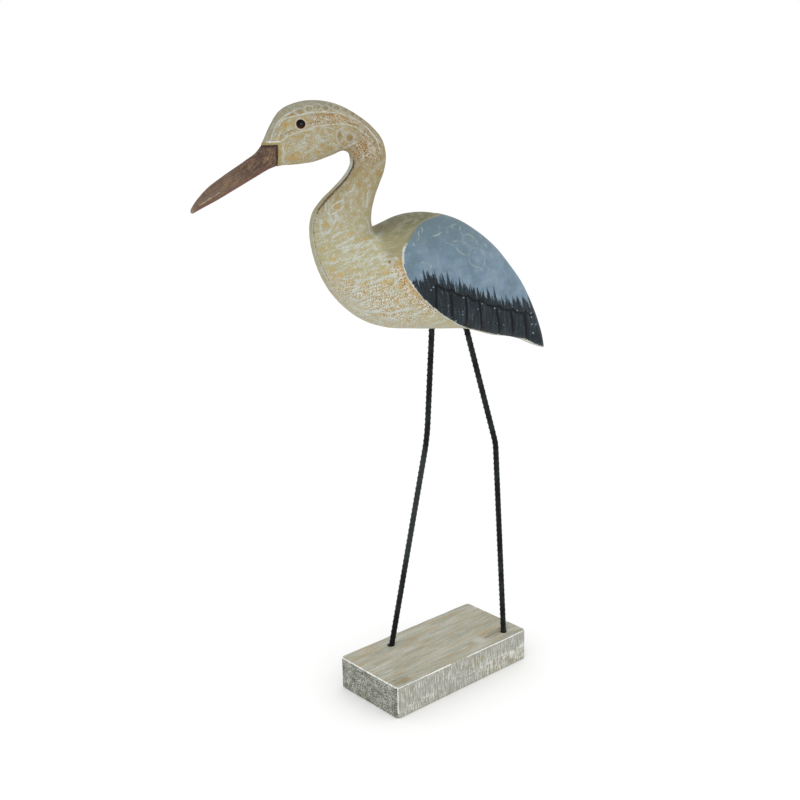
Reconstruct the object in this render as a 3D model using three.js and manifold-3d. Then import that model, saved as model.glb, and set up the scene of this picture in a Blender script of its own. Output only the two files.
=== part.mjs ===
// A carved wooden egret on two iron rod legs, standing on a wooden block.
// Millimetres, +Z up. The origin is the middle of the block's underside, and the block's long side lies along X.
import * as THREE from "three";
import { mergeVertices } from "three/addons/utils/BufferGeometryUtils.js";
import Module from "manifold-3d";

const wasm = await Module();
wasm.setup();

// Block
const BLOCK_LENGTH = 162;
const BLOCK_WIDTH = 79.5;
const BLOCK_HEIGHT = 30;
const BLOCK_CORNER = 4;
const BLOCK_EDGE = 1.2;

// Where the bird stands over the block, and how far its middle plane is turned from the block's long side
const BIRD_PLACE = [15, -1.5];
const BIRD_TURN = THREE.MathUtils.degToRad(26);

// The bird is drawn in its own middle plane: ahead of the place it stands over, to its left, and up.
// Each rib of the carving joins a point of the back line with a point of the front line.
// ahead and up at the back line, ahead and up at the front line, half width
const RIBS = [
  { name: "beak tip", back: [212.3, 440.5], front: [210.8, 437], half: 2.2 },
  { back: [207.5, 447.3], front: [203, 441], half: 3.7 },
  { back: [199, 456.3], front: [191.5, 446.4], half: 5.0 },
  { back: [183.5, 467.2], front: [173.5, 455.9], half: 6.2 },
  { back: [166, 478], front: [156.5, 464.9], half: 7.3 },
  { name: "beak root", back: [156, 484.9], front: [145, 470.7], half: 8.0 },
  { name: "brow", back: [151, 491.8], front: [137, 472.8], half: 8.8 },
  { name: "forehead", back: [145, 503.3], front: [129.5, 473], half: 10.4 },
  { back: [136, 515.7], front: [121, 473.5], half: 12.4 },
  { name: "eye", back: [121.5, 522], front: [111.5, 474.5], half: 14.2 },
  { name: "crown", back: [105, 523], front: [102, 477], half: 15.2 },
  { back: [88, 519], front: [93.5, 480], half: 15.4 },
  { back: [72, 510], front: [87, 482.5], half: 14.8 },
  { name: "nape", back: [60.5, 500.5], front: [83, 482], half: 14 },
  { back: [52.5, 490], front: [80, 479.5], half: 13.4 },
  { name: "throat", back: [49.8, 477.5], front: [79, 475.5], half: 13 },
  { back: [51.5, 466], front: [79.5, 470], half: 12.7 },
  { back: [55.5, 455.5], front: [85.5, 461], half: 12.6 },
  { back: [59.9, 444.5], front: [95.3, 451.3], half: 13 },
  { back: [62.9, 433.5], front: [104.8, 442.7], half: 13.9 },
  { back: [63.5, 423], front: [112, 433], half: 15.4 },
  { name: "neck root", back: [61, 414], front: [115, 421], half: 18 },
  { back: [56.3, 415.7], front: [114.5, 407], half: 21.2 },
  { back: [48.3, 421.2], front: [111.5, 391.5], half: 24.6 },
  { back: [38.5, 426.9], front: [103.3, 371.5], half: 27.6 },
  { name: "breast", back: [25, 429], front: [91.5, 355.5], half: 29.8 },
  { back: [8, 427.5], front: [74.8, 341.6], half: 31 },
  { name: "belly", back: [-11, 421.5], front: [54.5, 333.5], half: 31 },
  { back: [-28.5, 410.5], front: [31, 330.5], half: 29.8 },
  { back: [-44.5, 396.5], front: [6.5, 328.5], half: 27.2 },
  { name: "rump", back: [-57.5, 380.5], front: [-19, 326], half: 23.6 },
  { back: [-69, 364], front: [-42, 318.8], half: 18.6 },
  { back: [-78, 346], front: [-62.5, 314.9], half: 13.2 },
  { back: [-84.8, 329], front: [-77.5, 308], half: 8.6 },
  { back: [-88.8, 315.5], front: [-87, 304], half: 5.2 },
  { name: "tail tip", back: [-90.5, 306], front: [-91, 302.8], half: 2.8 },
];
const FULLNESS = 2.25; // 2 is an ellipse, more is squarer
const BACK_GROWTH = 0.25; // how far the back and front lines follow a change of half width
const RIB_COUNT = 70;
const HALF_STEPS = 12;

// The front of the neck is planed flat, with an edge on each side: ribs where that starts and where it ends
const FLAT_START = [13, 15];
const FLAT_END = [21.5, 24.5];
const FLAT_SHARE = 0.47;
const FLAT_BULGE = 0.03;
const FLAT_STEPS = 2;

// The beak is cut back from the head along a level line and an upright one
const BEAK_STEP = 1;
const BEAK_LEVEL = 489.7;
const BEAK_UPRIGHT = 140.4;

// Wings, raised from the body, with cut feathers below a row of short ones
const WING_STEP = 1.9;
const GROOVE_DEPTH = 1;
const GROOVE_WIDTH = 1.5;
const WING_EDGE = [
  [-5, 430.5], [3, 427.4], [11.4, 426.4], [18.5, 425.6], [25, 423.6], [30.5, 420.4], [35.8, 415], [40.2, 409.2],
  [43.6, 404.3], [45, 398.5], [44.8, 391.5], [43.2, 384.5], [39.8, 377.3], [31.5, 365.8], [17, 351.2], [3.6, 340.8],
  [-13, 330.6], [-31, 323.9], [-50, 318.5], [-70, 312.4], [-86, 305.2], [-96, 299.5],
];
const WING_BEHIND = [[-106, 308], [-96, 360], [-60, 412], [-25, 442]];
const FEATHER_COUNT = 7;
const FEATHER_PITCH = 13.9;
const FEATHER_FIRST = [17, 371]; // ahead and up at the top of the first groove
const FEATHER_FALL = 0.38; // how far the tops fall for each millimetre back
const FEATHER_LEAN = [0.05, 0.22]; // lean of the first groove and of the last one
const FEATHER_LENGTH = 45;
const COVERT_SAG = 2.6;

// Eyes, glass beads let into the head
const EYE_PLACE = [121.6, 505.5]; // ahead and up
const EYE_RADIUS = 4;
const EYE_PROUD = 2.2;

// Legs, bent from rod. Points are ahead and up; bend is how far the rounding reaches from the knee
const ROD_DIAMETER = 5;
const ROD_SIDES = 10;
const HOLE_SIDES = 14;
const ROD_BEND_STEPS = 5;
const ROD_INTO_BELLY = 22;
const ROD_INTO_BLOCK = 18;
const LEG_APART = 3.1; // of each leg from the middle plane
const LEGS = [
  {
    name: "leg_right", side: -1, hip: [10.8, 326.3], knee: [16.5, 228.3], foot: [53.6, BLOCK_HEIGHT],
    bend: 14, hole: 7.2, shift: 0.8,
  },
  {
    name: "leg_left", side: 1, hip: [-19.4, 323.5], knee: [-45.8, 218.4], foot: [-54.1, BLOCK_HEIGHT],
    bend: 5, hole: 6.2, shift: 0,
  },
];

// Gap left between pieces that touch
const GAP = 0.3;

// A cubic through the values at the knots, with tangents that weigh the nearer neighbour more
function smoothThrough(knots, values) {
  const slopes = values.slice(1).map((v, i) => (v - values[i]) / (knots[i + 1] - knots[i]));
  const tangents = values.map((_, i) => {
    if (i === 0) return slopes[0];
    if (i === slopes.length) return slopes[i - 1];
    const before = knots[i] - knots[i - 1];
    const after = knots[i + 1] - knots[i];
    return (before * slopes[i] + after * slopes[i - 1]) / (before + after);
  });
  return (t) => {
    let i = 0;
    while (i < slopes.length - 1 && t > knots[i + 1]) i += 1;
    const span = knots[i + 1] - knots[i];
    const x = (t - knots[i]) / span;
    const rise = values[i + 1] - values[i];
    const leave = tangents[i] * span;
    const arrive = tangents[i + 1] * span;
    return values[i] + x * (leave + x * (3 * rise - 2 * leave - arrive + x * (leave + arrive - 2 * rise)));
  };
}

const distance = (a, b) => Math.hypot(a[0] - b[0], a[1] - b[1]);

const RIB_KNOTS = RIBS.reduce((knots, rib, i) => {
  if (i === 0) return [0];
  const before = RIBS[i - 1];
  return [...knots, knots[i - 1] + (distance(rib.back, before.back) + distance(rib.front, before.front)) / 2];
}, []);
const BODY_LENGTH = RIB_KNOTS[RIB_KNOTS.length - 1];
const ribValue = (pick) => smoothThrough(RIB_KNOTS, RIBS.map(pick));
const backAhead = ribValue((rib) => rib.back[0]);
const backUp = ribValue((rib) => rib.back[1]);
const frontAhead = ribValue((rib) => rib.front[0]);
const frontUp = ribValue((rib) => rib.front[1]);
const halfWidth = ribValue((rib) => rib.half);
const ribNumber = smoothThrough(RIB_KNOTS, RIBS.map((_, i) => i));

// How much of the planed neck front there is at a rib: 0 none, 1 all
function planed(number) {
  const starts = THREE.MathUtils.smoothstep(number, FLAT_START[0], FLAT_START[1]);
  return starts * (1 - THREE.MathUtils.smoothstep(number, FLAT_END[0], FLAT_END[1]));
}

// One half of a section, from the back line to the front line: share of the rib's length, share of the half width
function halfSection(flat) {
  const edgeTurn = Math.PI - Math.asin(FLAT_SHARE ** (FULLNESS / 2));
  const sideSteps = HALF_STEPS - FLAT_STEPS;
  const round = (turn) => {
    const along = Math.cos(turn);
    return [Math.sign(along) * Math.abs(along) ** (2 / FULLNESS), Math.abs(Math.sin(turn)) ** (2 / FULLNESS)];
  };
  const [edgeAlong, edgeOut] = round(edgeTurn);
  const points = [];
  for (let step = 0; step <= HALF_STEPS; step += 1) {
    const onSide = step <= sideSteps;
    const turn = onSide
      ? (edgeTurn * step) / sideSteps
      : edgeTurn + ((Math.PI - edgeTurn) * (step - sideSteps)) / FLAT_STEPS;
    const [along, out] = round(turn);
    const flatOut = onSide ? out : (edgeOut * (Math.PI - turn)) / (Math.PI - edgeTurn);
    const flatAlong = onSide
      ? 1 + ((along - 1) * (2 - FLAT_BULGE)) / (1 - edgeAlong)
      : -1 + FLAT_BULGE * (flatOut / edgeOut) ** 2;
    points.push([THREE.MathUtils.lerp(along, flatAlong, flat), THREE.MathUtils.lerp(out, flatOut, flat)]);
  }
  return points;
}

// The whole carving as one closed skin, grown outwards by a number of millimetres
function carving(growth) {
  const positions = [];
  const around = 2 * HALF_STEPS;
  for (let i = 0; i < RIB_COUNT; i += 1) {
    const t = (BODY_LENGTH * i) / (RIB_COUNT - 1);
    const back = [backAhead(t), backUp(t)];
    const front = [frontAhead(t), frontUp(t)];
    const reach = distance(back, front) / 2;
    const along = [(back[0] - front[0]) / (2 * reach), (back[1] - front[1]) / (2 * reach)];
    const end = i === 0 ? -1 : i === RIB_COUNT - 1 ? 1 : 0;
    const middle = [
      (back[0] + front[0]) / 2 + end * growth * BACK_GROWTH * along[1] * -1,
      (back[1] + front[1]) / 2 + end * growth * BACK_GROWTH * along[0],
    ];
    const section = halfSection(planed(ribNumber(t)));
    for (let j = 0; j < around; j += 1) {
      const mirrored = j > HALF_STEPS;
      const [share, out] = section[mirrored ? around - j : j];
      const onLine = j === 0 || j === HALF_STEPS;
      const sideways = onLine ? 0 : (halfWidth(t) + growth) * out * (mirrored ? -1 : 1);
      const up = (reach + BACK_GROWTH * growth) * share;
      positions.push(middle[0] + along[0] * up, sideways, middle[1] + along[1] * up);
    }
  }
  const indices = [];
  for (let i = 0; i < RIB_COUNT - 1; i += 1) {
    for (let j = 0; j < around; j += 1) {
      const a = i * around + j;
      const b = i * around + ((j + 1) % around);
      indices.push(a, b, b + around, a, b + around, a + around);
    }
  }
  const last = (RIB_COUNT - 1) * around;
  for (let j = 1; j < around - 1; j += 1) {
    indices.push(0, j + 1, j);
    indices.push(last, last + j, last + j + 1);
  }
  const geometry = new THREE.BufferGeometry();
  geometry.setAttribute("position", new THREE.Float32BufferAttribute(positions, 3));
  geometry.setIndex(indices);
  return solidOf(geometry);
}

function solidOf(geometry) {
  const bare = new THREE.BufferGeometry();
  bare.setAttribute("position", geometry.getAttribute("position"));
  if (geometry.index) bare.setIndex(geometry.index);
  const merged = mergeVertices(bare, 1e-4);
  return new wasm.Manifold(
    new wasm.Mesh({
      numProp: 3,
      vertProperties: new Float32Array(merged.getAttribute("position").array),
      triVerts: new Uint32Array(merged.index.array),
    }),
  );
}

function geometryOf(solid) {
  const { vertProperties, triVerts } = solid.getMesh();
  const geometry = new THREE.BufferGeometry();
  geometry.setAttribute("position", new THREE.BufferAttribute(new Float32Array(vertProperties), 3));
  geometry.setIndex(new THREE.BufferAttribute(new Uint32Array(triVerts), 1));
  geometry.computeVertexNormals();
  return geometry;
}

// An outline in the bird's middle plane, ahead and up, cut straight through from side to side
function through(outline, halfDepth = 60) {
  const shape = new THREE.Shape(outline.map(([ahead, up]) => new THREE.Vector2(ahead, up)));
  const geometry = new THREE.ExtrudeGeometry(shape, { depth: 2 * halfDepth, bevelEnabled: false });
  geometry.translate(0, 0, -halfDepth);
  geometry.rotateX(Math.PI / 2);
  return solidOf(geometry);
}

// A strip of even width along a line of points
function strip(points, width) {
  const sides = [[], []];
  points.forEach((point, i) => {
    const before = points[Math.max(i - 1, 0)];
    const after = points[Math.min(i + 1, points.length - 1)];
    const length = distance(before, after);
    const across = [-(after[1] - before[1]) / length, (after[0] - before[0]) / length];
    sides[0].push([point[0] + (across[0] * width) / 2, point[1] + (across[1] * width) / 2]);
    sides[1].unshift([point[0] - (across[0] * width) / 2, point[1] - (across[1] * width) / 2]);
  });
  return through([...sides[0], ...sides[1]]);
}

function roundedLine(points, steps) {
  const curve = new THREE.SplineCurve(points.map(([x, y]) => new THREE.Vector2(x, y)));
  return curve.getPoints(steps).map((p) => [p.x, p.y]);
}

function wingOutline() {
  return [...roundedLine(WING_EDGE, 40), ...WING_BEHIND];
}

function featherTop(number) {
  return [
    FEATHER_FIRST[0] - FEATHER_PITCH * number,
    FEATHER_FIRST[1] - FEATHER_FALL * FEATHER_PITCH * number,
  ];
}

// The upright cuts between the long feathers, and the rounded ends of the short feathers above them
function featherCuts() {
  const cuts = [];
  for (let k = 0; k < FEATHER_COUNT; k += 1) {
    const top = featherTop(k);
    const lean = THREE.MathUtils.lerp(FEATHER_LEAN[0], FEATHER_LEAN[1], k / (FEATHER_COUNT - 1));
    cuts.push(strip([top, [top[0] - lean * FEATHER_LENGTH, top[1] - FEATHER_LENGTH]], GROOVE_WIDTH));
    const next = featherTop(k - 1);
    const ends = [[next[0], next[1] + 1], [(top[0] + next[0]) / 2, (top[1] + next[1]) / 2 - COVERT_SAG], top];
    cuts.push(strip(roundedLine(ends, 4), GROOVE_WIDTH));
  }
  return cuts;
}

function beakRegion(grow) {
  return through([
    [BEAK_UPRIGHT - grow, BEAK_LEVEL + grow],
    [BEAK_UPRIGHT - grow, 440 - grow],
    [225, 430],
    [225, BEAK_LEVEL + grow],
  ]);
}

// The line down the middle of a leg, with its knee rounded
function legLine(leg) {
  const [hip, knee, foot] = [leg.hip, leg.knee, leg.foot].map(([ahead, up]) => new THREE.Vector2(ahead, up));
  const thigh = hip.clone().sub(knee).normalize();
  const shank = foot.clone().sub(knee).normalize();
  const bend = new THREE.QuadraticBezierCurve(
    knee.clone().addScaledVector(thigh, leg.bend),
    knee,
    knee.clone().addScaledVector(shank, leg.bend),
  );
  return {
    thigh,
    shank,
    points: [
      hip.clone().addScaledVector(thigh, ROD_INTO_BELLY),
      ...bend.getPoints(ROD_BEND_STEPS),
      foot.clone().addScaledVector(shank, ROD_INTO_BLOCK),
    ],
  };
}

// A round bar along a line of points in one plane
function roundBar(points, side, radius, sides) {
  const positions = [];
  points.forEach((point, i) => {
    const before = points[Math.max(i - 1, 0)];
    const after = points[Math.min(i + 1, points.length - 1)];
    const run = after.clone().sub(before).normalize();
    for (let j = 0; j < sides; j += 1) {
      const turn = (2 * Math.PI * j) / sides;
      const across = radius * Math.cos(turn);
      positions.push(point.x - run.y * across, side - radius * Math.sin(turn), point.y + run.x * across);
    }
  });
  const indices = [];
  for (let i = 0; i < points.length - 1; i += 1) {
    for (let j = 0; j < sides; j += 1) {
      const a = i * sides + j;
      const b = i * sides + ((j + 1) % sides);
      indices.push(a, b, b + sides, a, b + sides, a + sides);
    }
  }
  const last = (points.length - 1) * sides;
  for (let j = 1; j < sides - 1; j += 1) {
    indices.push(0, j + 1, j);
    indices.push(last, last + j, last + j + 1);
  }
  const geometry = new THREE.BufferGeometry();
  geometry.setAttribute("position", new THREE.Float32BufferAttribute(positions, 3));
  geometry.setIndex(indices);
  return geometry;
}

// The hole that a rod goes into, as a plug to cut with: from a point, along a direction in the middle plane
function rodHole(point, direction, side, diameter, depth, outside) {
  const ends = [point.clone().addScaledVector(direction, depth), point.clone().addScaledVector(direction, -outside)];
  return solidOf(roundBar(ends, side, diameter / 2, HOLE_SIDES));
}

function eyePlace(side) {
  return new THREE.Vector3(EYE_PLACE[0], side * eyeOut, EYE_PLACE[1]);
}

function bead(radius) {
  const geometry = new THREE.SphereGeometry(radius, 12, 9);
  geometry.rotateX(Math.PI / 2);
  return geometry;
}

// How far out from the middle plane the head's side lies at the eye: where a thin upright pin leaves the carving
function sideReach(body, [ahead, up]) {
  const pin = through([
    [ahead - 0.4, up - 0.4],
    [ahead + 0.4, up - 0.4],
    [ahead + 0.4, up + 0.4],
    [ahead - 0.4, up + 0.4],
  ]);
  return pin.intersect(body).boundingBox().max[1];
}

const body = carving(0);
const eyeOut = sideReach(body, EYE_PLACE) + EYE_PROUD - EYE_RADIUS;

function carvedBird() {
  const head = body.subtract(beakRegion(0));
  const beak = carving(-BEAK_STEP).intersect(beakRegion(4));
  const wingPrism = through(wingOutline());
  const wingFloor = carving(WING_STEP - GROOVE_DEPTH).intersect(wingPrism);
  const wingFace = featherCuts().reduce((face, cut) => face.subtract(cut), carving(WING_STEP).intersect(wingPrism));
  let bird = head.add(beak).add(wingFloor).add(wingFace);
  for (const side of [-1, 1]) {
    const place = eyePlace(side);
    bird = bird.subtract(solidOf(bead(EYE_RADIUS + GAP)).translate([place.x, place.y, place.z]));
  }
  for (const leg of LEGS) {
    const { thigh } = legLine(leg);
    const hip = new THREE.Vector2(...leg.hip);
    const hole = rodHole(hip, thigh, leg.side * LEG_APART, ROD_DIAMETER + 2 * GAP, ROD_INTO_BELLY + GAP, 10);
    bird = bird.subtract(hole);
  }
  return geometryOf(bird);
}

function drilledBlock() {
  const halfLength = BLOCK_LENGTH / 2 - BLOCK_EDGE;
  const halfWidthOf = BLOCK_WIDTH / 2 - BLOCK_EDGE;
  const corner = BLOCK_CORNER - BLOCK_EDGE;
  const shape = new THREE.Shape();
  shape.moveTo(-halfLength + corner, -halfWidthOf);
  shape.absarc(halfLength - corner, -halfWidthOf + corner, corner, -Math.PI / 2, 0);
  shape.absarc(halfLength - corner, halfWidthOf - corner, corner, 0, Math.PI / 2);
  shape.absarc(-halfLength + corner, halfWidthOf - corner, corner, Math.PI / 2, Math.PI);
  shape.absarc(-halfLength + corner, -halfWidthOf + corner, corner, Math.PI, 1.5 * Math.PI);
  const geometry = new THREE.ExtrudeGeometry(shape, {
    depth: BLOCK_HEIGHT - 2 * BLOCK_EDGE,
    bevelThickness: BLOCK_EDGE,
    bevelSize: BLOCK_EDGE,
    bevelSegments: 2,
    curveSegments: 3,
  });
  geometry.translate(0, 0, BLOCK_EDGE);
  let block = solidOf(geometry);
  for (const leg of LEGS) {
    const { shank } = legLine(leg);
    const foot = new THREE.Vector2(...leg.foot).add(new THREE.Vector2(leg.shift, 0));
    const hole = rodHole(foot, shank, leg.side * LEG_APART, leg.hole, ROD_INTO_BLOCK + 2 * GAP, 8);
    const turned = hole.rotate([0, 0, THREE.MathUtils.radToDeg(Math.PI - BIRD_TURN)]);
    block = block.subtract(turned.translate([BIRD_PLACE[0], BIRD_PLACE[1], 0]));
  }
  return geometryOf(block);
}

function piece(name, geometry, color, roughness, metalness = 0) {
  const mesh = new THREE.Mesh(geometry, new THREE.MeshStandardMaterial({ color, roughness, metalness }));
  mesh.name = name;
  return mesh;
}

const egret = new THREE.Group();
const standing = new THREE.Group();
standing.rotation.z = Math.PI - BIRD_TURN;
standing.position.set(BIRD_PLACE[0], BIRD_PLACE[1], 0);
egret.add(standing);

egret.add(piece("base", drilledBlock(), "#b3a894", 0.8));
standing.add(piece("bird", carvedBird(), "#c2a77e", 0.75));
for (const [name, side] of [["eye_left", 1], ["eye_right", -1]]) {
  const eye = piece(name, bead(EYE_RADIUS), "#1c1310", 0.1);
  eye.position.copy(eyePlace(side));
  standing.add(eye);
}
for (const leg of LEGS) {
  const bar = roundBar(legLine(leg).points, leg.side * LEG_APART, ROD_DIAMETER / 2, ROD_SIDES);
  standing.add(piece(leg.name, bar, "#242a26", 0.6, 0.6));
}

export default egret;
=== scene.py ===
# The looks of a carved and painted wooden egret, standing on two ribbed rods in a limewashed block.
# Sizes are in millimetres until a mesh is made. The frame is in metres.
import math
import bpy
import numpy as np
from mathutils import Matrix, Vector


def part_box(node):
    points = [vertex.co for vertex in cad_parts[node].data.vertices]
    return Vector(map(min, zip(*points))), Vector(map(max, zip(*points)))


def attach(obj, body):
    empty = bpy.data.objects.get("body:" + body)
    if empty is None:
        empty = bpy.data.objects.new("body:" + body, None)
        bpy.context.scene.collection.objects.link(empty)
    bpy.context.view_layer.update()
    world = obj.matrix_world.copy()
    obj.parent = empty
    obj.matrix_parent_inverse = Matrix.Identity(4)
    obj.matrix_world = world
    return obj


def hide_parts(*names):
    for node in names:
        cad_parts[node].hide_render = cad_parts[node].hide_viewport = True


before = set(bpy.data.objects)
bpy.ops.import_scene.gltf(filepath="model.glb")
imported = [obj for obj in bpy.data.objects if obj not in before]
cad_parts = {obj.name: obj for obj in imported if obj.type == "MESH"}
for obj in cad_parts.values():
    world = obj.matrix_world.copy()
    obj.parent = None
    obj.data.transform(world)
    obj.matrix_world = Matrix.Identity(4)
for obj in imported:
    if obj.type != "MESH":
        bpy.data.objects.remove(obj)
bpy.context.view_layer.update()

MM = 0.001

# Where the bird stands over the block, and how far its middle plane is turned from the block's long side.
# Points on the bird are ahead of that place, to its left, and up.
BIRD_PLACE = (15.0, -1.5)
BIRD_TURN = math.pi - math.radians(26)

# Ribs of the carving, from the beak's tip to the tail's:
# ahead and up at the back line, ahead and up at the front line, half width
RIBS = [
    (212.3, 440.5, 210.8, 437, 2.2),
    (207.5, 447.3, 203, 441, 3.7),
    (199, 456.3, 191.5, 446.4, 5.0),
    (183.5, 467.2, 173.5, 455.9, 6.2),
    (166, 478, 156.5, 464.9, 7.3),
    (156, 484.9, 145, 470.7, 8.0),  # 5, beak root
    (151, 491.8, 137, 472.8, 8.8),
    (145, 503.3, 129.5, 473, 10.4),
    (136, 515.7, 121, 473.5, 12.4),
    (121.5, 522, 111.5, 474.5, 14.2),  # 9, eye
    (105, 523, 102, 477, 15.2),
    (88, 519, 93.5, 480, 15.4),
    (72, 510, 87, 482.5, 14.8),
    (60.5, 500.5, 83, 482, 14),  # 13, nape
    (52.5, 490, 80, 479.5, 13.4),
    (49.8, 477.5, 79, 475.5, 13),  # 15, throat
    (51.5, 466, 79.5, 470, 12.7),
    (55.5, 455.5, 85.5, 461, 12.6),
    (59.9, 444.5, 95.3, 451.3, 13),
    (62.9, 433.5, 104.8, 442.7, 13.9),
    (63.5, 423, 112, 433, 15.4),
    (61, 414, 115, 421, 18),  # 21, neck root
    (56.3, 415.7, 114.5, 407, 21.2),
    (48.3, 421.2, 111.5, 391.5, 24.6),
    (38.5, 426.9, 103.3, 371.5, 27.6),
    (25, 429, 91.5, 355.5, 29.8),  # 25, breast
    (8, 427.5, 74.8, 341.6, 31),
    (-11, 421.5, 54.5, 333.5, 31),  # 27, belly
    (-28.5, 410.5, 31, 330.5, 29.8),
    (-44.5, 396.5, 6.5, 328.5, 27.2),
    (-57.5, 380.5, -19, 326, 23.6),  # 30, rump
    (-69, 364, -42, 318.8, 18.6),
    (-78, 346, -62.5, 314.9, 13.2),
    (-84.8, 329, -77.5, 308, 8.6),
    (-88.8, 315.5, -87, 304, 5.2),
    (-90.5, 306, -91, 302.8, 2.8),  # 35, tail tip
]
FULLNESS = 2.25  # of a section: 2 is an ellipse, more is squarer
BACK_GROWTH = 0.25  # how far the back and front lines follow a change of half width
BEAK_BLUNT = 2.0  # length over which the beak's tip is rounded
TAIL_BLUNT = 1.6

# The front of the neck is planed flat: ribs where that starts and where it ends, and its share of the width
FLAT_START = (13, 15)
FLAT_END = (21.5, 24.5)
FLAT_SHARE = 0.47
FLAT_BULGE = 0.03

# The beak is cut back from the head along a level line and an upright one
BEAK_STEP = 1.0
BEAK_LEVEL = 489.7
BEAK_UPRIGHT = 140.4
MOUTH_LINE = [(205, 444), (195, 450), (187.5, 454.5), (179, 459.5), (172, 464), (165, 468)]

# Wings, raised from the body, with cut feathers below a row of short ones
WING_STEP = 1.9
WING_EDGE = [
    (-5, 430.5), (3, 427.4), (11.4, 426.4), (18.5, 425.6), (25, 423.6), (30.5, 420.4), (35.8, 415),
    (40.2, 409.2), (43.6, 404.3), (45, 398.5), (44.8, 391.5), (43.2, 384.5), (39.8, 377.3), (31.5, 365.8),
    (17, 351.2), (3.6, 340.8), (-13, 330.6), (-31, 323.9), (-50, 318.5), (-70, 312.4), (-86, 305.2),
    (-96, 299.5),
]
# How much of the darker glaze lies over the pale paint: place in the list of ribs, and share
GLAZE_ALONG = [
    (0, 0.5), (9, 0.52), (11, 0.7), (12.5, 1.0), (15, 1.0), (17.5, 0.75), (19.5, 0.5), (21, 0.25), (22.5, 0),
]
# Cuts between the long feathers, each with its top and its foot, and where the last one's row of short feathers ends
FEATHER_CUTS = [
    ((17, 371.5), (16, 349)), ((4.4, 366.5), (0.5, 340)), ((-9.9, 360), (-13.5, 332)), ((-22.1, 355), (-29.3, 325)),
    ((-38.8, 348), (-46, 320)), ((-53, 343.5), (-59, 318)), ((-67, 339), (-72, 315)),
]
SHORT_ROW_END = (-78, 336)
SHORT_FEATHER_SAG = 1.9
GROOVE_DEPTH = 0.9
GROOVE_WIDTH = 1.05
BAND_TOP = [
    (46, 372), (36, 375.5), (29, 379), (20, 380), (14, 376.5), (6, 374), (-2, 371), (-10, 368), (-20, 364),
    (-27, 361), (-35, 357.5), (-42, 355), (-52, 352.5), (-62, 349.5), (-72, 347), (-100, 341),
]
WING_SCUFFS = [
    [(27, 419), (25.7, 417.8), (26.8, 415.7)],
    [(17.5, 412.1), (13.4, 412.7), (10.1, 414.1)],
    [(35.5, 408.5), (35, 405.9)],
    [(21.3, 389.3), (21.8, 385.7), (20.7, 381.9)],
    [(29.3, 416.5), (30.2, 415.1), (29.6, 412.9)],
    [(29.6, 391.7), (27.6, 392.5)],
]
# Cream outlines of scales on the wing
SCALE_LINES = [
    [(7.4, 406.2), (2.5, 404.7), (-0.3, 402.9), (-3.1, 400), (-5.9, 397.1), (-9.3, 394.9), (-12.4, 395), (-15, 398),
     (-16.9, 400)],
    [(1.9, 417.7), (-2.9, 418.9), (-8.8, 419), (-9.2, 416.2), (-7.4, 414.3), (-9.4, 411.6), (-9.6, 409),
     (-8.1, 405.7), (-12, 403.4), (-16.9, 400.1), (-14.2, 396.8), (-12.5, 392.9), (-13.6, 388.3), (-16.4, 385.3),
     (-20.5, 384), (-25.2, 382), (-27.2, 386.9), (-28.3, 391.3), (-27.3, 395.4), (-23.9, 398.7), (-20.1, 399.4),
     (-16.9, 400)],
    [(0.2, 406.5), (-4, 406.8), (-8.1, 405.7)],
    [(-10, 409.9), (-14.9, 411), (-19.8, 407.9), (-22.3, 404.2), (-23.5, 399.5)],
    [(-27.7, 407.6), (-30.3, 401.9), (-33.2, 395.1), (-37, 390.2)],
    [(-27.2, 386.9), (-30.1, 382.1), (-34.3, 379.7)],
]
# Chips of pale paint on the dark feathers: ahead, up, half size
FEATHER_CHIPS = [
    (-7.6, 359.4, 0.9), (-25.3, 352.4, 0.6), (-37.1, 346.9, 0.9), (-74.5, 337.6, 0.9), (-75, 334.2, 0.7),
    (-75.4, 327.6, 0.7), (-80.1, 327, 0.8), (-77.5, 319.3, 0.9), (19.5, 371, 0.8), (-3, 338, 0.9), (-21.6, 348, 0.5),
    (-59.5, 342.4, 0.6), (21.8, 368.5, 0.6), (-8, 344, 0.6),
]

# Lines cut or brushed on the head and body
HEAD_LINES = [
    [(146.1, 492), (142.4, 501.2), (139.7, 506.5), (136, 510.3), (129, 514.4), (122.6, 517.8)],
    [(139, 504), (136.5, 508), (133, 510.3), (125.4, 511.8), (115.6, 514), (102, 514.4), (88.4, 512.8),
     (77, 508), (67, 501), (60.4, 493), (56.8, 482.5)],
    [(139, 496.2), (137.5, 498.9), (135.9, 500.6)],
    [(137.5, 492.7), (131.9, 496.5), (122.4, 499.9), (116.1, 500.7), (109, 503.7), (98.3, 504.5),
     (86, 504.5), (77.7, 501.9), (67, 494.1)],
    [(136.4, 488.5), (136, 482), (136, 475.5)],
]
BEAK_RIM_LINES = [
    [(148.5, 492.2), (143, 492), (138.6, 492.2)],
]
# Ochre spots on the crown and the back of the head: ahead, up, half length, half height
HEAD_SPOTS = [
    (121.4, 514.9, 3.6, 1.9), (114.2, 517, 3.0, 2.1), (107.5, 518.2, 3.2, 1.9), (100.7, 517.2, 2.7, 1.9),
    (95.8, 519.4, 2.1, 1.6), (91.3, 517, 2.9, 1.8), (84, 515, 2.7, 1.7), (78.4, 511.9, 2.5, 1.7),
    (71.2, 507.6, 2.2, 1.6), (90.9, 495.1, 2.3, 4.4), (82.7, 493.6, 3.0, 3.4), (76.4, 496, 2.5, 1.7),
    (70, 497.5, 1.8, 1.6), (63.8, 493.6, 1.5, 2.2), (65.8, 498.4, 1.6, 1.5), (57.2, 485, 1.3, 3.0),
    (56.6, 477, 1.2, 2.2),
]
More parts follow.
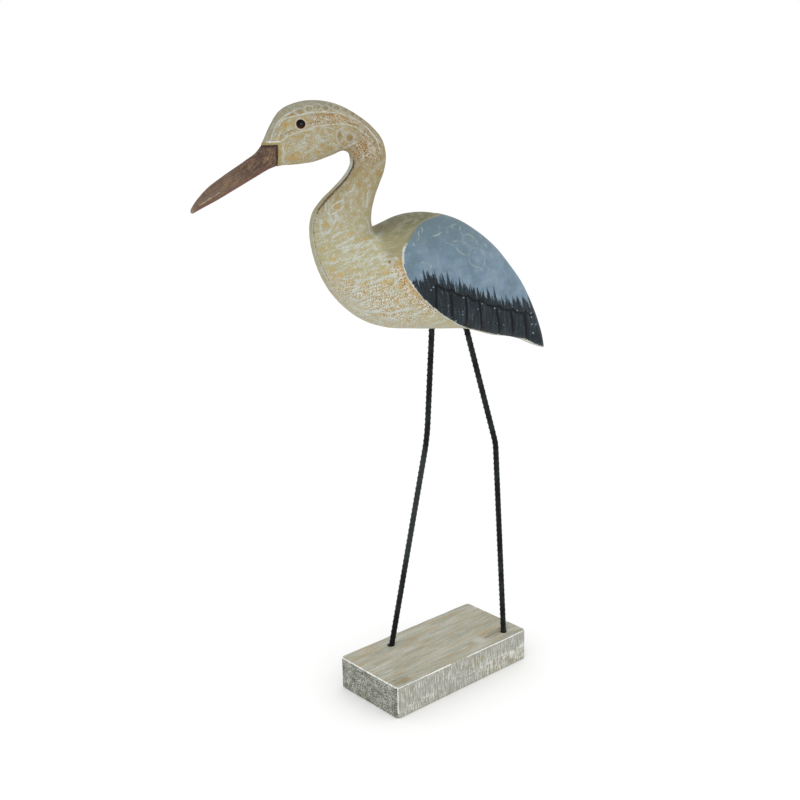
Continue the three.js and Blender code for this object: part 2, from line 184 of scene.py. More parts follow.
# Dark rust rubbed along the eye stripe
RUST_LINES = [
    [(137.5, 497), (132.5, 499), (127, 501.5)],
    [(117.5, 505), (111, 507), (104.5, 507), (95, 507)],
    [(131.5, 511), (126, 513.5)],
    [(114, 512), (104, 512.5), (95, 512)],
    [(82, 505), (76, 503)],
]
BRUSH_STROKES = [
    [(77, 490.5), (81, 488), (86.5, 485)],
    [(67.5, 501.5), (65, 497.5), (60.5, 492.5), (56.5, 488.5)],
    [(103, 442), (103.5, 436.5), (101, 432.5), (94.5, 435), (90, 438.5)],
    [(99, 437.5), (97.5, 440.5), (93.5, 442.5), (89.5, 443.5)],
    [(86.5, 448), (83, 450.5), (79.5, 453)],
    [(108, 428.5), (109, 420.5), (107.5, 416), (102.5, 419.5), (99.5, 423.5), (97, 427.5), (95.5, 432.5)],
    [(100.5, 414), (98, 416.5), (95, 418.5)],
    [(97, 416.5), (91.5, 419), (86.5, 419.5)],
    [(95, 409.5), (90, 411), (84.5, 413.5)],
    [(68.5, 449), (68.5, 441.5), (69.5, 436.5)],
    [(68.5, 426), (68, 420), (66.5, 416), (64.5, 413.5)],
    [(70.5, 411), (68, 407), (65, 404)],
    [(54, 388.5), (52, 384), (50.5, 378)],
    [(50.5, 397), (48, 394)],
    [(92.5, 393.5), (89, 395), (84, 395.5)],
    [(84, 380), (76, 380), (70, 382)],
    [(83, 370.5), (76, 372.5), (70, 374), (64, 375)],
    [(86.5, 363.5), (80.5, 361.5), (76, 364.5), (68, 367.5), (63.5, 369.5)],
    [(78.5, 353), (72, 351.5), (63, 350.5), (55, 349.5), (46.5, 351), (40.5, 353)],
    [(84.5, 356), (78.5, 351.5), (71.5, 348)],
]
# Places where the ochre shows through most, and where the whitewash lies thickest:
# ahead, up, half length along the rows of gouge marks, half height
OCHRE_BLOTS = [
    (101, 397.5, 3.5, 4), (87, 390.5, 2.2, 2.3), (96, 384, 5.5, 3), (80, 385, 4, 2.1), (77, 375.5, 6.5, 2.2),
    (80, 367.5, 7, 2), (60, 377, 5.5, 2.8), (59, 367, 5.5, 2), (69.5, 359, 6.5, 2.3), (57, 354, 5, 1.7),
    (62.5, 347.5, 6, 1.7), (50, 345.5, 7.5, 1.9), (40, 340, 6.5, 1.6), (31, 341.5, 4.5, 1.7), (46.5, 387.5, 2.5, 6),
    (95, 438, 2.6, 2.3), (105, 425.5, 2.5, 3.2), (93.5, 424, 4.6, 2), (85.5, 417, 4.2, 1.8), (93.5, 511, 6.5, 2.3),
    (80.5, 505.5, 6.5, 1.5), (73.5, 482, 6, 4), (71, 489, 7, 6), (129, 479, 8, 3.7), (132, 505.5, 6, 2.5),
]
PALE_BLOTS = [
    (102.5, 493.5, 6, 3.5), (97, 429, 9, 6), (108, 496, 5, 3), (120, 491, 4, 2.5), (90, 404, 10, 3),
    (60, 396, 6, 7), (70, 381, 4, 2),
]
KNOT_PLACE = (55.8, 394)
KNOT_RADIUS = 1.3

# Rows of gouge marks on the breast, which rise towards the back
ROW_RISE = math.radians(20)
ROW_PITCH = 8.3

# Eyes and legs
EYE_PLACE = (121.6, 505.5)
EYE_SHOWN = 3.6  # radius at the head's surface
LID_WIDTH = 0.7
LEG_APART = 3.1
ROD_CORE = 4.9
ROD_RIB = 0.6
ROD_ROW_TURN = {"leg_right": math.radians(60), "leg_left": math.radians(-5)}
ROD_INTO_BELLY = 22
ROD_INTO_BLOCK = 17
BLOCK_HEIGHT = 30
LEGS = [
    # name, side, hip, knee, foot, how far the rounding reaches from the knee,
    # width of the hole in the block, how far the hole lies ahead of the rod
    ("leg_right", -1, (10.8, 326.3), (16.5, 228.3), (53.6, BLOCK_HEIGHT), 14, 7.2, 0.8),
    ("leg_left", 1, (-19.4, 323.5), (-45.8, 218.4), (-54.1, BLOCK_HEIGHT), 5, 6.2, 0),
]

# Block
BLOCK_LENGTH = 162
BLOCK_WIDTH = 79.5
BLOCK_CORNER = 4
BLOCK_EDGE = 1.2


# Plain maths

def smooth(value, low=0.0, high=1.0):
    """0 below low, 1 above high, and an even curve between them."""
    share = np.clip((value - low) / (high - low), 0, 1)
    return share * share * (3 - 2 * share)


def bump(distance, width):
    """1 at no distance, falling off evenly over about a width."""
    return np.exp(-((distance / width) ** 2))


def smooth_through(knots, values):
    """A cubic through the values at the knots, with tangents that weigh the nearer neighbour more."""
    knots, values = np.array(knots, float), np.array(values, float)
    spans = np.diff(knots)
    slopes = np.diff(values) / spans
    tangents = np.empty_like(values)
    tangents[0], tangents[-1] = slopes[0], slopes[-1]
    tangents[1:-1] = (spans[:-1] * slopes[1:] + spans[1:] * slopes[:-1]) / (spans[:-1] + spans[1:])

    def value(place):
        i = np.clip(np.searchsorted(knots, place, side="right") - 1, 0, len(spans) - 1)
        share = (place - knots[i]) / spans[i]
        rise = values[i + 1] - values[i]
        leave, arrive = tangents[i] * spans[i], tangents[i + 1] * spans[i]
        bend = 3 * rise - 2 * leave - arrive + share * (leave + arrive - 2 * rise)
        return values[i] + share * (leave + share * bend)

    return value


def rounded_line(points, steps):
    """A smooth line through a few points."""
    points = np.array(points, float)
    runs = np.concatenate([[0], np.cumsum(np.hypot(*np.diff(points, axis=0).T))])
    places = np.linspace(0, runs[-1], steps + 1)
    return np.stack([smooth_through(runs, column)(places) for column in points.T], -1)


def beside(line, ahead, up):
    """Distance of points from a line, more than 0 on its left and less on its right."""
    nearest = np.full(len(ahead), np.inf)
    side = np.ones(len(ahead))
    for start, end in zip(np.asarray(line, float)[:-1], np.asarray(line, float)[1:]):
        run, rise = end - start
        share = np.clip(((ahead - start[0]) * run + (up - start[1]) * rise) / (run * run + rise * rise), 0, 1)
        off_ahead = ahead - start[0] - share * run
        off_up = up - start[1] - share * rise
        distance = np.hypot(off_ahead, off_up)
        closer = distance < nearest
        nearest[closer] = distance[closer]
        side[closer] = np.where(run * off_up - rise * off_ahead < 0, -1, 1)[closer]
    return nearest * side


def from_lines(lines, ahead, up):
    """Distance of points from the nearest of several lines."""
    return np.min([np.abs(beside(line, ahead, up)) for line in lines], axis=0)


def scatter(cells):
    """One fixed random value from 0 to 1 for each whole-numbered cell."""
    mixed = np.sin(cells @ np.array((12.9898, 78.233, 37.719))) * 43758.5453
    return mixed - np.floor(mixed)


def grain(points, size, seed):
    """Smooth random values from 0 to 1 in space, in cells of a size."""
    cell = points / np.array(size, float) + seed * 17.31
    corner = np.floor(cell)
    part = smooth(cell - corner)
    total = np.zeros(len(points))
    for step in np.ndindex(2, 2, 2):
        weight = np.prod(np.where(step, part, 1 - part), axis=1)
        total += weight * scatter(corner + step)
    return total


# Meshes

def refine(where, triangles, shape, wanted_edge, passes=14):
    """Halves the longest edge of each triangle that is too coarse, until all are fine enough.

    where holds the numbers that shape turns into points, one row for each corner. Neighbours stay joined."""
    for _ in range(passes):
        points = shape(where)
        corners = points[triangles]
        lengths = np.linalg.norm(corners - np.roll(corners, -1, axis=1), axis=2)
        longest = lengths.argmax(axis=1)
        middle = where[triangles].mean(axis=1)
        coarse = lengths.max(axis=1) > wanted_edge(middle, corners.mean(axis=1))
        if not coarse.any():
            break
        pairs = np.sort(np.stack([triangles, np.roll(triangles, -1, axis=1)], -1), axis=2)
        keys = pairs[..., 0].astype(np.int64) * len(where) + pairs[..., 1]
        edges, edge_of = np.unique(keys, return_inverse=True)
        edge_of = edge_of.reshape(keys.shape)
        rows = np.arange(len(triangles))
        split = np.zeros(len(edges), bool)
        split[edge_of[rows[coarse], longest[coarse]]] = True
        while True:
            touched = split[edge_of].any(axis=1)
            needed = edge_of[rows[touched], longest[touched]]
            if split[needed].all():
                break
            split[needed] = True
        new_corner = np.full(len(edges), -1)
        new_corner[split] = len(where) + np.arange(split.sum())
        ends = np.stack([edges[split] // len(where), edges[split] % len(where)], -1)
        where = np.vstack([where, where[ends].mean(axis=1)])
        turned = (longest[:, None] + np.arange(3)) % 3
        a, b, c = np.take_along_axis(triangles, turned, axis=1).T
        on_ab, on_bc, on_ca = new_corner[np.take_along_axis(edge_of, turned, axis=1)].T
        whole = on_ab < 0
        parts = [np.stack([a, b, c], -1)[whole]]
        for first, second, far, third in ((a, on_ab, c, on_ca), (on_ab, b, c, on_bc)):
            plain = ~whole & (third < 0)
            again = ~whole & (third >= 0)
            parts.append(np.stack([first, second, far], -1)[plain])
            if third is on_ca:
                parts.append(np.stack([first, second, third], -1)[again])
                parts.append(np.stack([second, far, third], -1)[again])
            else:
                parts.append(np.stack([first, second, third], -1)[again])
                parts.append(np.stack([first, third, far], -1)[again])
        triangles = np.vstack(parts)
    return where, triangles


def outward(points, triangles):
    """The direction that the surface faces at each point."""
    a, b, c = points[triangles].transpose(1, 0, 2)
    facing = np.cross(b - a, c - a)
    total = np.zeros_like(points)
    for corner in triangles.T:
        np.add.at(total, corner, facing)
    return total / np.maximum(np.linalg.norm(total, axis=1, keepdims=True), 1e-12)


def to_frame(points):
    """From the bird's own directions, in millimetres, to the frame, in metres."""
    cosine, sine = math.cos(BIRD_TURN), math.sin(BIRD_TURN)
    ahead, left, up = np.asarray(points, float).T
    across = BIRD_PLACE[0] + ahead * cosine - left * sine
    along = BIRD_PLACE[1] + ahead * sine + left * cosine
    return np.stack([across, along, up], -1) * MM


def make_piece(name, points, triangles, materials, material_of=None, marks=None):
    """A smooth-shaded mesh object, with its points already in the frame."""
    mesh = bpy.data.meshes.new(name)
    mesh.from_pydata(points.tolist(), [], triangles.tolist())
    for material in materials:
        mesh.materials.append(material)
    if material_of is not None:
        mesh.polygons.foreach_set("material_index", material_of.astype(np.int32))
    for mark, values in (marks or {}).items():
        attribute = mesh.attributes.new(mark, "FLOAT", "POINT")
        attribute.data.foreach_set("value", values.astype(np.float32))
    mesh.shade_smooth()
    piece = bpy.data.objects.new(name, mesh)
    bpy.context.scene.collection.objects.link(piece)
    return piece


def settle(piece, node):
    """The piece stands for a CAD node, whose own mesh is hidden, and moves with the one body."""
    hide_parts(node)
    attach(piece, "root")


# The carving

RIB_TABLE = np.array(RIBS, float)
BACK_STEPS = np.hypot(*np.diff(RIB_TABLE[:, 0:2], axis=0).T)
FRONT_STEPS = np.hypot(*np.diff(RIB_TABLE[:, 2:4], axis=0).T)
RIB_KNOTS = np.concatenate([[0], np.cumsum((BACK_STEPS + FRONT_STEPS) / 2)])
BODY_LENGTH = RIB_KNOTS[-1]
back_ahead, back_up, front_ahead, front_up, half_width = [
    smooth_through(RIB_KNOTS, column) for column in RIB_TABLE.T
]
rib_number = smooth_through(RIB_KNOTS, np.arange(len(RIBS)))


def round_section(turn):
    """Share of a rib's half length and of its half width, at a turn from the back line."""
    along, out = np.cos(turn), np.abs(np.sin(turn))
    return np.sign(along) * np.abs(along) ** (2 / FULLNESS), out ** (2 / FULLNESS)


EDGE_TURN = math.pi - math.asin(FLAT_SHARE ** (FULLNESS / 2))
EDGE_ALONG, EDGE_OUT = round_section(EDGE_TURN)


def section(turn, flat):
    """The same, with the front planed flat by a share."""
    along, out = round_section(turn)
    on_side = turn <= EDGE_TURN
    flat_out = np.where(on_side, out, EDGE_OUT * (math.pi - turn) / (math.pi - EDGE_TURN))
    side_along = 1 + (along - 1) * (2 - FLAT_BULGE) / (1 - EDGE_ALONG)
    front_along = -1 + FLAT_BULGE * (flat_out / EDGE_OUT) ** 2
    flat_along = np.where(on_side, side_along, front_along)
    return along + flat * (flat_along - along), out + flat * (flat_out - out)


def around(where):
    """Distance along the carving, and the turn around it from the back line, less than 0 on the right."""
    return where[:, 0], np.arctan2(where[:, 2], where[:, 1])


def skin(where, growth=0.0):
    """Points of the carving, grown outwards."""
    along, turn = around(where)
    rib = rib_number(along)
    flat = smooth(rib, *FLAT_START) * (1 - smooth(rib, *FLAT_END))
    share, out = section(np.abs(turn), flat)
    back = np.stack([back_ahead(along), back_up(along)], -1)
    front = np.stack([front_ahead(along), front_up(along)], -1)
    beak_end = 1 - np.clip(along / BEAK_BLUNT, 0, 1)
    tail_end = 1 - np.clip((BODY_LENGTH - along) / TAIL_BLUNT, 0, 1)
    blunt = np.sqrt(np.clip(1 - np.maximum(beak_end, tail_end) ** 2, 0, 1))
    reach = np.linalg.norm(back - front, axis=1) / 2
    direction = (back - front) / (2 * reach[:, None])
    middle = (back + front) / 2 + direction * ((reach + BACK_GROWTH * growth) * share * blunt)[:, None]
    left = (half_width(along) + growth) * out * blunt * np.where(turn < 0, -1, 1)
    return np.stack([middle[:, 0], left, middle[:, 1]], -1)


def coarse_skin(rows=124, sides=44):
    """An even net over the carving, closed by one corner at each end."""
    where = [(0.0, 0.0, 0.0)]
    for row in range(1, rows):
        for side in range(sides):
            turn = 2 * math.pi * side / sides
            where.append((BODY_LENGTH * row / rows, math.cos(turn), math.sin(turn)))
    where.append((BODY_LENGTH, 0.0, 0.0))
    last = len(where) - 1
    triangles = []
    for side in range(sides):
        after = (side + 1) % sides
        triangles.append((0, 1 + after, 1 + side))
        triangles.append((last, last - sides + side, last - sides + after))
        for row in range(rows - 2):
            a, b = 1 + row * sides + side, 1 + row * sides + after
            triangles.append((a, b, b + sides))
            triangles.append((a, b + sides, a + sides))
    return np.array(where), np.array(triangles)


WING_LINE = rounded_line(WING_EDGE, 60)


def feather_lines():
    """The upright cuts between the long feathers, and the sagging ends of the short feathers above them."""
    tops = [np.array(top) for top, _ in FEATHER_CUTS] + [np.array(SHORT_ROW_END)]
    lines = [list(cut) for cut in FEATHER_CUTS]
    for top, after in zip(tops, tops[1:]):
        start = top + (-1, 1.2)
        lines.append(rounded_line([start, (start + after) / 2 - (0, SHORT_FEATHER_SAG), after], 4))
    return lines


FEATHER_LINES = feather_lines()


def wing_inset(ahead, up):
    """How far inside the wing's edge a point is."""
    return -beside(WING_LINE, ahead, up)


def beak_inset(ahead, up):
    """How far a point is into the beak, past the cut line where it meets the head."""
    return np.minimum(ahead - BEAK_UPRIGHT, BEAK_LEVEL - up)


def crease_offset(where, points):
    """Distance from the edge of the planed neck front, more than 0 on the neck's side, and how plain that edge is."""
    along, turn = around(where)
    rib = rib_number(along)
    shown = smooth(rib, 14.4, 15.6) * (1 - smooth(rib, 23, 25.5)) * (np.abs(turn) > math.pi / 2)
    return np.abs(points[:, 1]) - FLAT_SHARE * half_width(along), shown


def hip_offset(points):
    """Distance from the nearest leg's line where it enters the belly."""
    nearest = np.full(len(points), np.inf)
    for _, side, hip, knee, *_ in LEGS:
        run = np.array([hip[0] - knee[0], 0, hip[1] - knee[1]])
        run /= np.linalg.norm(run)
        off = points - np.array([hip[0], side * LEG_APART, hip[1]])
        distance = np.linalg.norm(off - (off @ run)[:, None] * run, axis=1)
        nearest = np.minimum(nearest, np.where(points[:, 2] < hip[1] + 12, distance, np.inf))
    return nearest


# The side away from the photo is meshed plainer, past this distance to the bird's right
FAR_SIDE = -4.0
FAR_SIDE_EASE = 1.6


def carving_edge(where, points):
    """How long the mesh's edges may be over the carving."""
    ahead, _, up = points.T
    rib = rib_number(where[:, 0])
    inset = wing_inset(ahead, up)
    edge = np.where(inset > 0, 2.8, 1.7)
    edge = np.where((inset <= 0) & (rib < 15), 1.45, edge)
    edge = np.where((rib > 28.5) & (inset <= 0), 2.2, edge)
    near = [
        (np.abs(inset), 1.5, 0.65),
        (from_lines(FEATHER_LINES, ahead, up), np.where(inset > 0, 1.3, 0), 0.7),
        (np.abs(beak_inset(ahead, up)), 1.2, 0.55),
        (from_lines([MOUTH_LINE], ahead, up), 0.8, 0.65),
        (from_lines(HEAD_LINES + BEAK_RIM_LINES, ahead, up), 1.1, 0.7),
        (from_lines(BRUSH_STROKES, ahead, up), 1.1, 0.9),
        (np.hypot(ahead - EYE_PLACE[0], up - EYE_PLACE[1]), 5.6, 0.5),
        (hip_offset(points), 3.6, 0.55),
        (from_lines(WING_SCUFFS + SCALE_LINES, ahead, up), np.where(inset > 0, 1.0, 0), 0.8),
        (-head_spots(ahead, up), np.where(rib < 15, 0.4, -99), 0.75),
    ]
    offset, shown = crease_offset(where, points)
    near.append((np.abs(offset), 1.5 * (shown > 0.05), 0.7))
    for distance, reach, fine in near:
        edge = np.where(distance < reach, np.minimum(edge, fine), edge)
    return np.where(points[:, 1] < FAR_SIDE, edge * FAR_SIDE_EASE, edge)


def row_marks(points):
    """Rows of shallow gouge marks over the breast: 1 between them and 0 in the deepest."""
    ahead, left, up = points.T
    run = up * math.sin(ROW_RISE) - ahead * math.cos(ROW_RISE)
    row = ahead * math.sin(ROW_RISE) + up * math.cos(ROW_RISE)
    flow = np.stack([run, left, row], -1)
    bend = 9 * (grain(flow, (12, 34, 12), 1) - 0.5)
    wave = 0.5 + 0.5 * np.cos(2 * math.pi * (row + bend) / ROW_PITCH)
    breaks = grain(flow, (6, 26, 3.2), 3)
    return smooth(0.45 * wave + 0.55 * breaks, 0.2, 0.75)


def head_spots(ahead, up):
    """1 in the middle of a spot on the head and less than 0 outside all of them."""
    inside = np.full(len(ahead), -9.0)
    for middle_ahead, middle_up, half_long, half_high in HEAD_SPOTS:
        off = np.hypot((ahead - middle_ahead) / half_long, (up - middle_up) / half_high)
        inside = np.maximum(inside, 1 - off)
    return inside


def blots(table, ahead, up):
    """1 in the middle of a blot, 0 at its rim and less further away."""
    inside = np.full(len(ahead), -1.0)
    for middle_ahead, middle_up, half_long, half_high in table:
        run = (middle_ahead - ahead) * math.cos(ROW_RISE) + (up - middle_up) * math.sin(ROW_RISE)
        row = (ahead - middle_ahead) * math.sin(ROW_RISE) + (up - middle_up) * math.cos(ROW_RISE)
        inside = np.maximum(inside, 1 - np.hypot(run / half_long, row / half_high))
    return inside


def bird_marks(where, points):
    """Everything that is cut or painted on the bird, as one value for each corner of its mesh."""
    along, turn = around(where)
    ahead, left, up = points.T
    rib = rib_number(along)
    inset = wing_inset(ahead, up)
    reach = np.hypot(back_ahead(along) - front_ahead(along), back_up(along) - front_up(along)) / 2
    crease, crease_shown = crease_offset(where, points)
    on_head = 1 - smooth(rib, 12, 14)
    on_breast = smooth(rib, 19.5, 22)
    hem = reach * (1 + section(np.abs(turn), 0 * turn)[0])
    marks = {"along": along, "hem": hem, "on_breast": on_breast, "on_head": on_head}
    marks["around"] = np.abs(turn) * (reach + half_width(along)) / 2
    marks["inset"] = np.clip(inset, -20, 20)
    marks["band"] = np.clip(beside(BAND_TOP, ahead, up), -25, 25)
    marks["beak"] = np.clip(beak_inset(ahead, up), -20, 60)
    marks["mouth"] = bump(from_lines([MOUTH_LINE], ahead, up), 0.7)
    marks["cut"] = bump(from_lines(FEATHER_LINES, ahead, up), GROOVE_WIDTH) * smooth(inset, 0, 1)
    marks["scuff"] = bump(from_lines(WING_SCUFFS, ahead, up), 0.8)
    marks["scale"] = bump(from_lines(SCALE_LINES, ahead, up), 0.8)
    head_line = bump(from_lines(HEAD_LINES, ahead, up), 0.7)
    rim_line = bump(from_lines(BEAK_RIM_LINES, ahead, up), 0.7)
    stroke = bump(from_lines(BRUSH_STROKES, ahead, up), 1.3)
    marks["wash"] = np.maximum(head_line, 0.85 * stroke)
    marks["rim_line"] = rim_line
    marks["crease"] = crease_shown * bump(crease - 0.2, 1.2) * (1 - 0.45 * smooth(rib, 18.8, 20))
    marks["ochre"] = blots(OCHRE_BLOTS, ahead, up)
    marks["pale"] = blots(PALE_BLOTS, ahead, up)
    beside_crease = 0.75 * crease_shown * bump(crease - 1.7, 0.9) * (1 - smooth(rib, 19.5, 20.5))
    marks["gold"] = smooth(inset, -7, -1) * smooth(up, 352, 366) * (1 - smooth(up, 396, 410))
    marks["rust"] = np.maximum(bump(from_lines(RUST_LINES, ahead, up), 0.8), beside_crease)
    marks["front_band"] = crease_shown * smooth(-crease, 0.2, 0.9)
    # The upper part of the planed neck front, which carries a painted highlight
    marks["upper_band"] = marks["front_band"] * (1 - smooth(rib, 16.5, 18.5))
    marks["dashes"] = crease_shown * bump(crease + 1.5, 0.7) * smooth(rib, 19.5, 20.5)
    marks["on_hem"] = (1 - smooth(hem, 5, 15)) * smooth(rib, 23, 25.5)
    valley = 62 + (up - 400) * 0.33
    marks["olive"] = smooth(valley - ahead, -2, 9) * smooth(up, 388, 403) * on_breast
    upper = beside(HEAD_LINES[1], ahead, up)
    lower = beside(HEAD_LINES[3], ahead, up)
    marks["crown"] = smooth(-upper, 0.5, 4) * on_head * smooth(up, 485, 500)
    stripe = smooth(upper, 0, 1.5) * smooth(-lower, 0, 1.5) * smooth(118 - ahead, 0, 6) * on_head
    nape = 1 - smooth(np.hypot((ahead - 69) / 16, (up - 486) / 21), 0.35, 1)
    by_wing = smooth(inset, -17, -2) * smooth(up, 338, 352) * (1 - smooth(up, 388, 404))
    low = smooth(ahead + 0.5 * (385 - up), 30, 70) * smooth(392 - up, 0, 25) * on_breast
    neck = smooth(rib, 13, 15) * (1 - smooth(rib, 17.5, 19.5))
    marks["warm"] = np.maximum.reduce([nape, stripe, by_wing, 0.75 * low, 0.5 * on_head, 0.35 * neck])
    marks["speckle"] = np.maximum.reduce([0.9 * nape, 0.6 * stripe, by_wing, 0.7 * low])
    marks["net"] = np.maximum.reduce([
        on_breast * (1 - smooth(390 - up, 0, 18)) * (1 - marks["olive"]) * smooth(ahead, 60, 75),
        smooth(rib, 17, 20) * (1 - on_breast), 0.8 * on_head * (1 - marks["crown"]) * (1 - stripe),
    ])
    marks["glaze"] = np.interp(rib, *np.array(GLAZE_ALONG).T)
    spot = head_spots(ahead, up)
    marks["spot"] = smooth(spot, 0.0, 0.3)
    marks["spot_rim"] = bump(spot + 0.2, 0.35) * on_head
    marks["knot"] = 1 - smooth(np.hypot(ahead - KNOT_PLACE[0], up - KNOT_PLACE[1]), 0.6, KNOT_RADIUS)
    eye = np.hypot(ahead - EYE_PLACE[0], up - EYE_PLACE[1])
    marks["lid"] = bump(eye - EYE_SHOWN - 0.45, LID_WIDTH) * on_head
    on_body = (1 - smooth(inset, -1.5, -0.3)) * (1 - smooth(marks["beak"], -1.2, -0.4))
    gouges = on_breast * (1 - marks["on_hem"]) * (1 - marks["olive"]) * (row_marks(points) - 1)
    strokes = grain(np.stack([along, left, marks["around"]], -1), (8, 9, 2.2), 8) - 1
    relief = (0.16 * gouges + 0.1 * strokes) * on_body
    relief -= 0.3 * np.maximum(head_line, rim_line) * on_body + 0.12 * stroke * on_body
    relief -= 0.55 * crease_shown * bump(crease - 0.3, 0.7)
    relief -= 0.35 * bump(marks["beak"] - 0.35, 0.5) * (marks["beak"] > -2)
    relief -= 0.22 * marks["mouth"] * smooth(marks["beak"], 1, 3)
    relief -= GROOVE_DEPTH * marks["cut"]
    relief += 0.3 * marks["lid"] - 1.2 * (1 - smooth(eye, EYE_SHOWN - 0.5, EYE_SHOWN))
    relief -= 3.2 * (1 - smooth(hip_offset(points), 2.3, 2.75))
    relief += 0.12 * (grain(points, (16, 16, 16), 21) - 1) + 0.18 * on_body
    marks["relief"] = relief
    return marks


# Finishes

class Value:
    """A number that varies over a surface. The operators add Math nodes to its finish."""

    def __init__(self, finish, socket):
        self.finish = finish
        self.socket = socket

    def maths(self, operation, *values):
        return self.finish.node("ShaderNodeMath", {"operation": operation}, dict(enumerate(values)))

    def __add__(self, other):
        return self.maths("ADD", self, other)

    def __sub__(self, other):
        return self.maths("SUBTRACT", self, other)

    def __rsub__(self, other):
        return self.maths("SUBTRACT", other, self)

    def __mul__(self, other):
        return self.maths("MULTIPLY", self, other)

    def __truediv__(self, other):
        return self.maths("DIVIDE", self, other)

    def __pow__(self, other):
        return self.maths("POWER", self, other)

    __radd__ = __add__
    __rmul__ = __mul__

    def at_least(self, other):
        return self.maths("MAXIMUM", self, other)

    def at_most(self, other):
        return self.maths("MINIMUM", self, other)

    def size(self):
        return self.maths("ABSOLUTE", self)

    def wave(self):
        return self.maths("SINE", self)


def colour(code):
    """A paint colour from its usual code, in the values that the shaders use."""
    parts = [int(code[i:i + 2], 16) / 255 for i in (1, 3, 5)]
    return tuple(p / 12.92 if p <= 0.04045 else ((p + 0.055) / 1.055) ** 2.4 for p in parts) + (1.0,)


class Finish:
    """The node tree of one material."""

    def __init__(self, name):
        self.material = bpy.data.materials.new(name)
        self.material.use_nodes = True
        self.tree = self.material.node_tree
        self.shader = self.tree.nodes["Principled BSDF"]

    def node(self, kind, settings=None, inputs=None, output=0):
        """Adds a node: its settings come first, then the values or links of its sockets."""
        node = self.tree.nodes.new(kind)
        for setting, value in (settings or {}).items():
            setattr(node, setting, value)
        for socket, value in (inputs or {}).items():
            self.feed(node.inputs[socket], value)
        return Value(self, node.outputs[output])

    def feed(self, socket, value):
        if isinstance(value, Value):
            self.tree.links.new(value.socket, socket)
        else:
            socket.default_value = value

    def set(self, **values):
        for name, value in values.items():
            self.feed(self.shader.inputs[name.replace("_", " ")], value)

    def place(self):
        """Where a point is in the frame, in metres."""
        return self.node("ShaderNodeTexCoord", output="Object")

    def bird_place(self):
        """Where a point is on the bird, ahead, left and up, in millimetres."""
        cosine, sine = math.cos(BIRD_TURN), math.sin(BIRD_TURN)
        across, along = BIRD_PLACE
        shift = (-across * cosine - along * sine, across * sine - along * cosine, 0)
        turn = (0, 0, -BIRD_TURN)
        scale = (1 / MM, 1 / MM, 1 / MM)
        return self.node("ShaderNodeMapping", None, {0: self.place(), 1: shift, 2: turn, 3: scale})

    def mark(self, name):
        """A value stored on the mesh."""
        return self.node("ShaderNodeAttribute", {"attribute_name": name}, output="Fac")

    def parts(self, vector):
        split = self.node("ShaderNodeSeparateXYZ", None, {0: vector})
        return [Value(self, socket) for socket in split.socket.node.outputs]

    def join(self, x, y, z):
        return self.node("ShaderNodeCombineXYZ", None, {0: x, 1: y, 2: z})

    def stretch(self, vector, by):
        return self.node("ShaderNodeVectorMath", {"operation": "MULTIPLY"}, {0: vector, 1: by})

    def noise(self, vector, detail=2.0, roughness=0.5):
        inputs = {"Vector": vector, "Scale": 1.0, "Detail": detail, "Roughness": roughness}
        return self.node("ShaderNodeTexNoise", None, inputs)

    def spots(self, vector, size, detail=2.0):
        """Noise that is as long in every direction, in spots of about a size."""
        return self.noise(self.stretch(vector, (1 / size,) * 3), detail)

    def outlines(self, across, up):
        """Distance from the sides of a flat net of cells, in shares of a cell."""
        inputs = {"Vector": self.join(across, up, 0.0), "Scale": 1.0}
        settings = {"feature": "DISTANCE_TO_EDGE", "voronoi_dimensions": "2D"}
        return self.node("ShaderNodeTexVoronoi", settings, inputs, "Distance")

    def rise(self, value, low, high):
        """0 below low, 1 above high, and an even curve between them."""
        inputs = {0: value, 1: low, 2: high, 3: 0.0, 4: 1.0}
        return self.node("ShaderNodeMapRange", {"interpolation_type": "SMOOTHSTEP"}, inputs)

    def blend(self, share, first, second):
        """From the first colour to the second."""
        return self.node("ShaderNodeMix", {"data_type": "RGBA"}, {0: share, 6: first, 7: second}, 2)

    def glaze(self, share, base, tint):
        """A see-through tint over a colour."""
        settings = {"data_type": "RGBA", "blend_type": "MULTIPLY"}
        return self.node("ShaderNodeMix", settings, {0: share, 6: base, 7: tint}, 2)

    def relief(self, height, distance):
        """A small relief, as a direction for the shader. height is a share of distance, which is in millimetres."""
        inputs = {"Height": height, "Distance": distance * MM, "Strength": 1.0}
        return self.node("ShaderNodeBump", None, inputs, "Normal")


WHITEWASH = colour("#bbc0ba")
LINE_WHITE = colour("#dcdedb")
CREAM = colour("#aaa78c")
OLIVE_WOOD = colour("#a09a73")
OCHRE_WOOD = colour("#b59858")
RUST_WOOD = colour("#77522b")
WING_GOLD = colour("#b28a48")
HEM_GREY = colour("#a8a692")
NECK_GLAZE = (0.70, 0.61, 0.52, 1)
OLIVE = colour("#8a8463")
DARK_OLIVE = colour("#6a6950")
GREEN_GREY = colour("#8f9387")
SPOT_TAN = colour("#8d7c52")
RIM_TAN = colour("#95804a")
BAND_HIGHLIGHT_WHITE = colour("#bfc8c3")
BAND_OLIVE = colour("#969273")
CREASE_SHADE_BROWN = colour("#453420")
CREASE_SHADE_RED = colour("#86643f")
LID_CREAM = colour("#b5ad95")
KNOT_RED = colour("#6b3328")


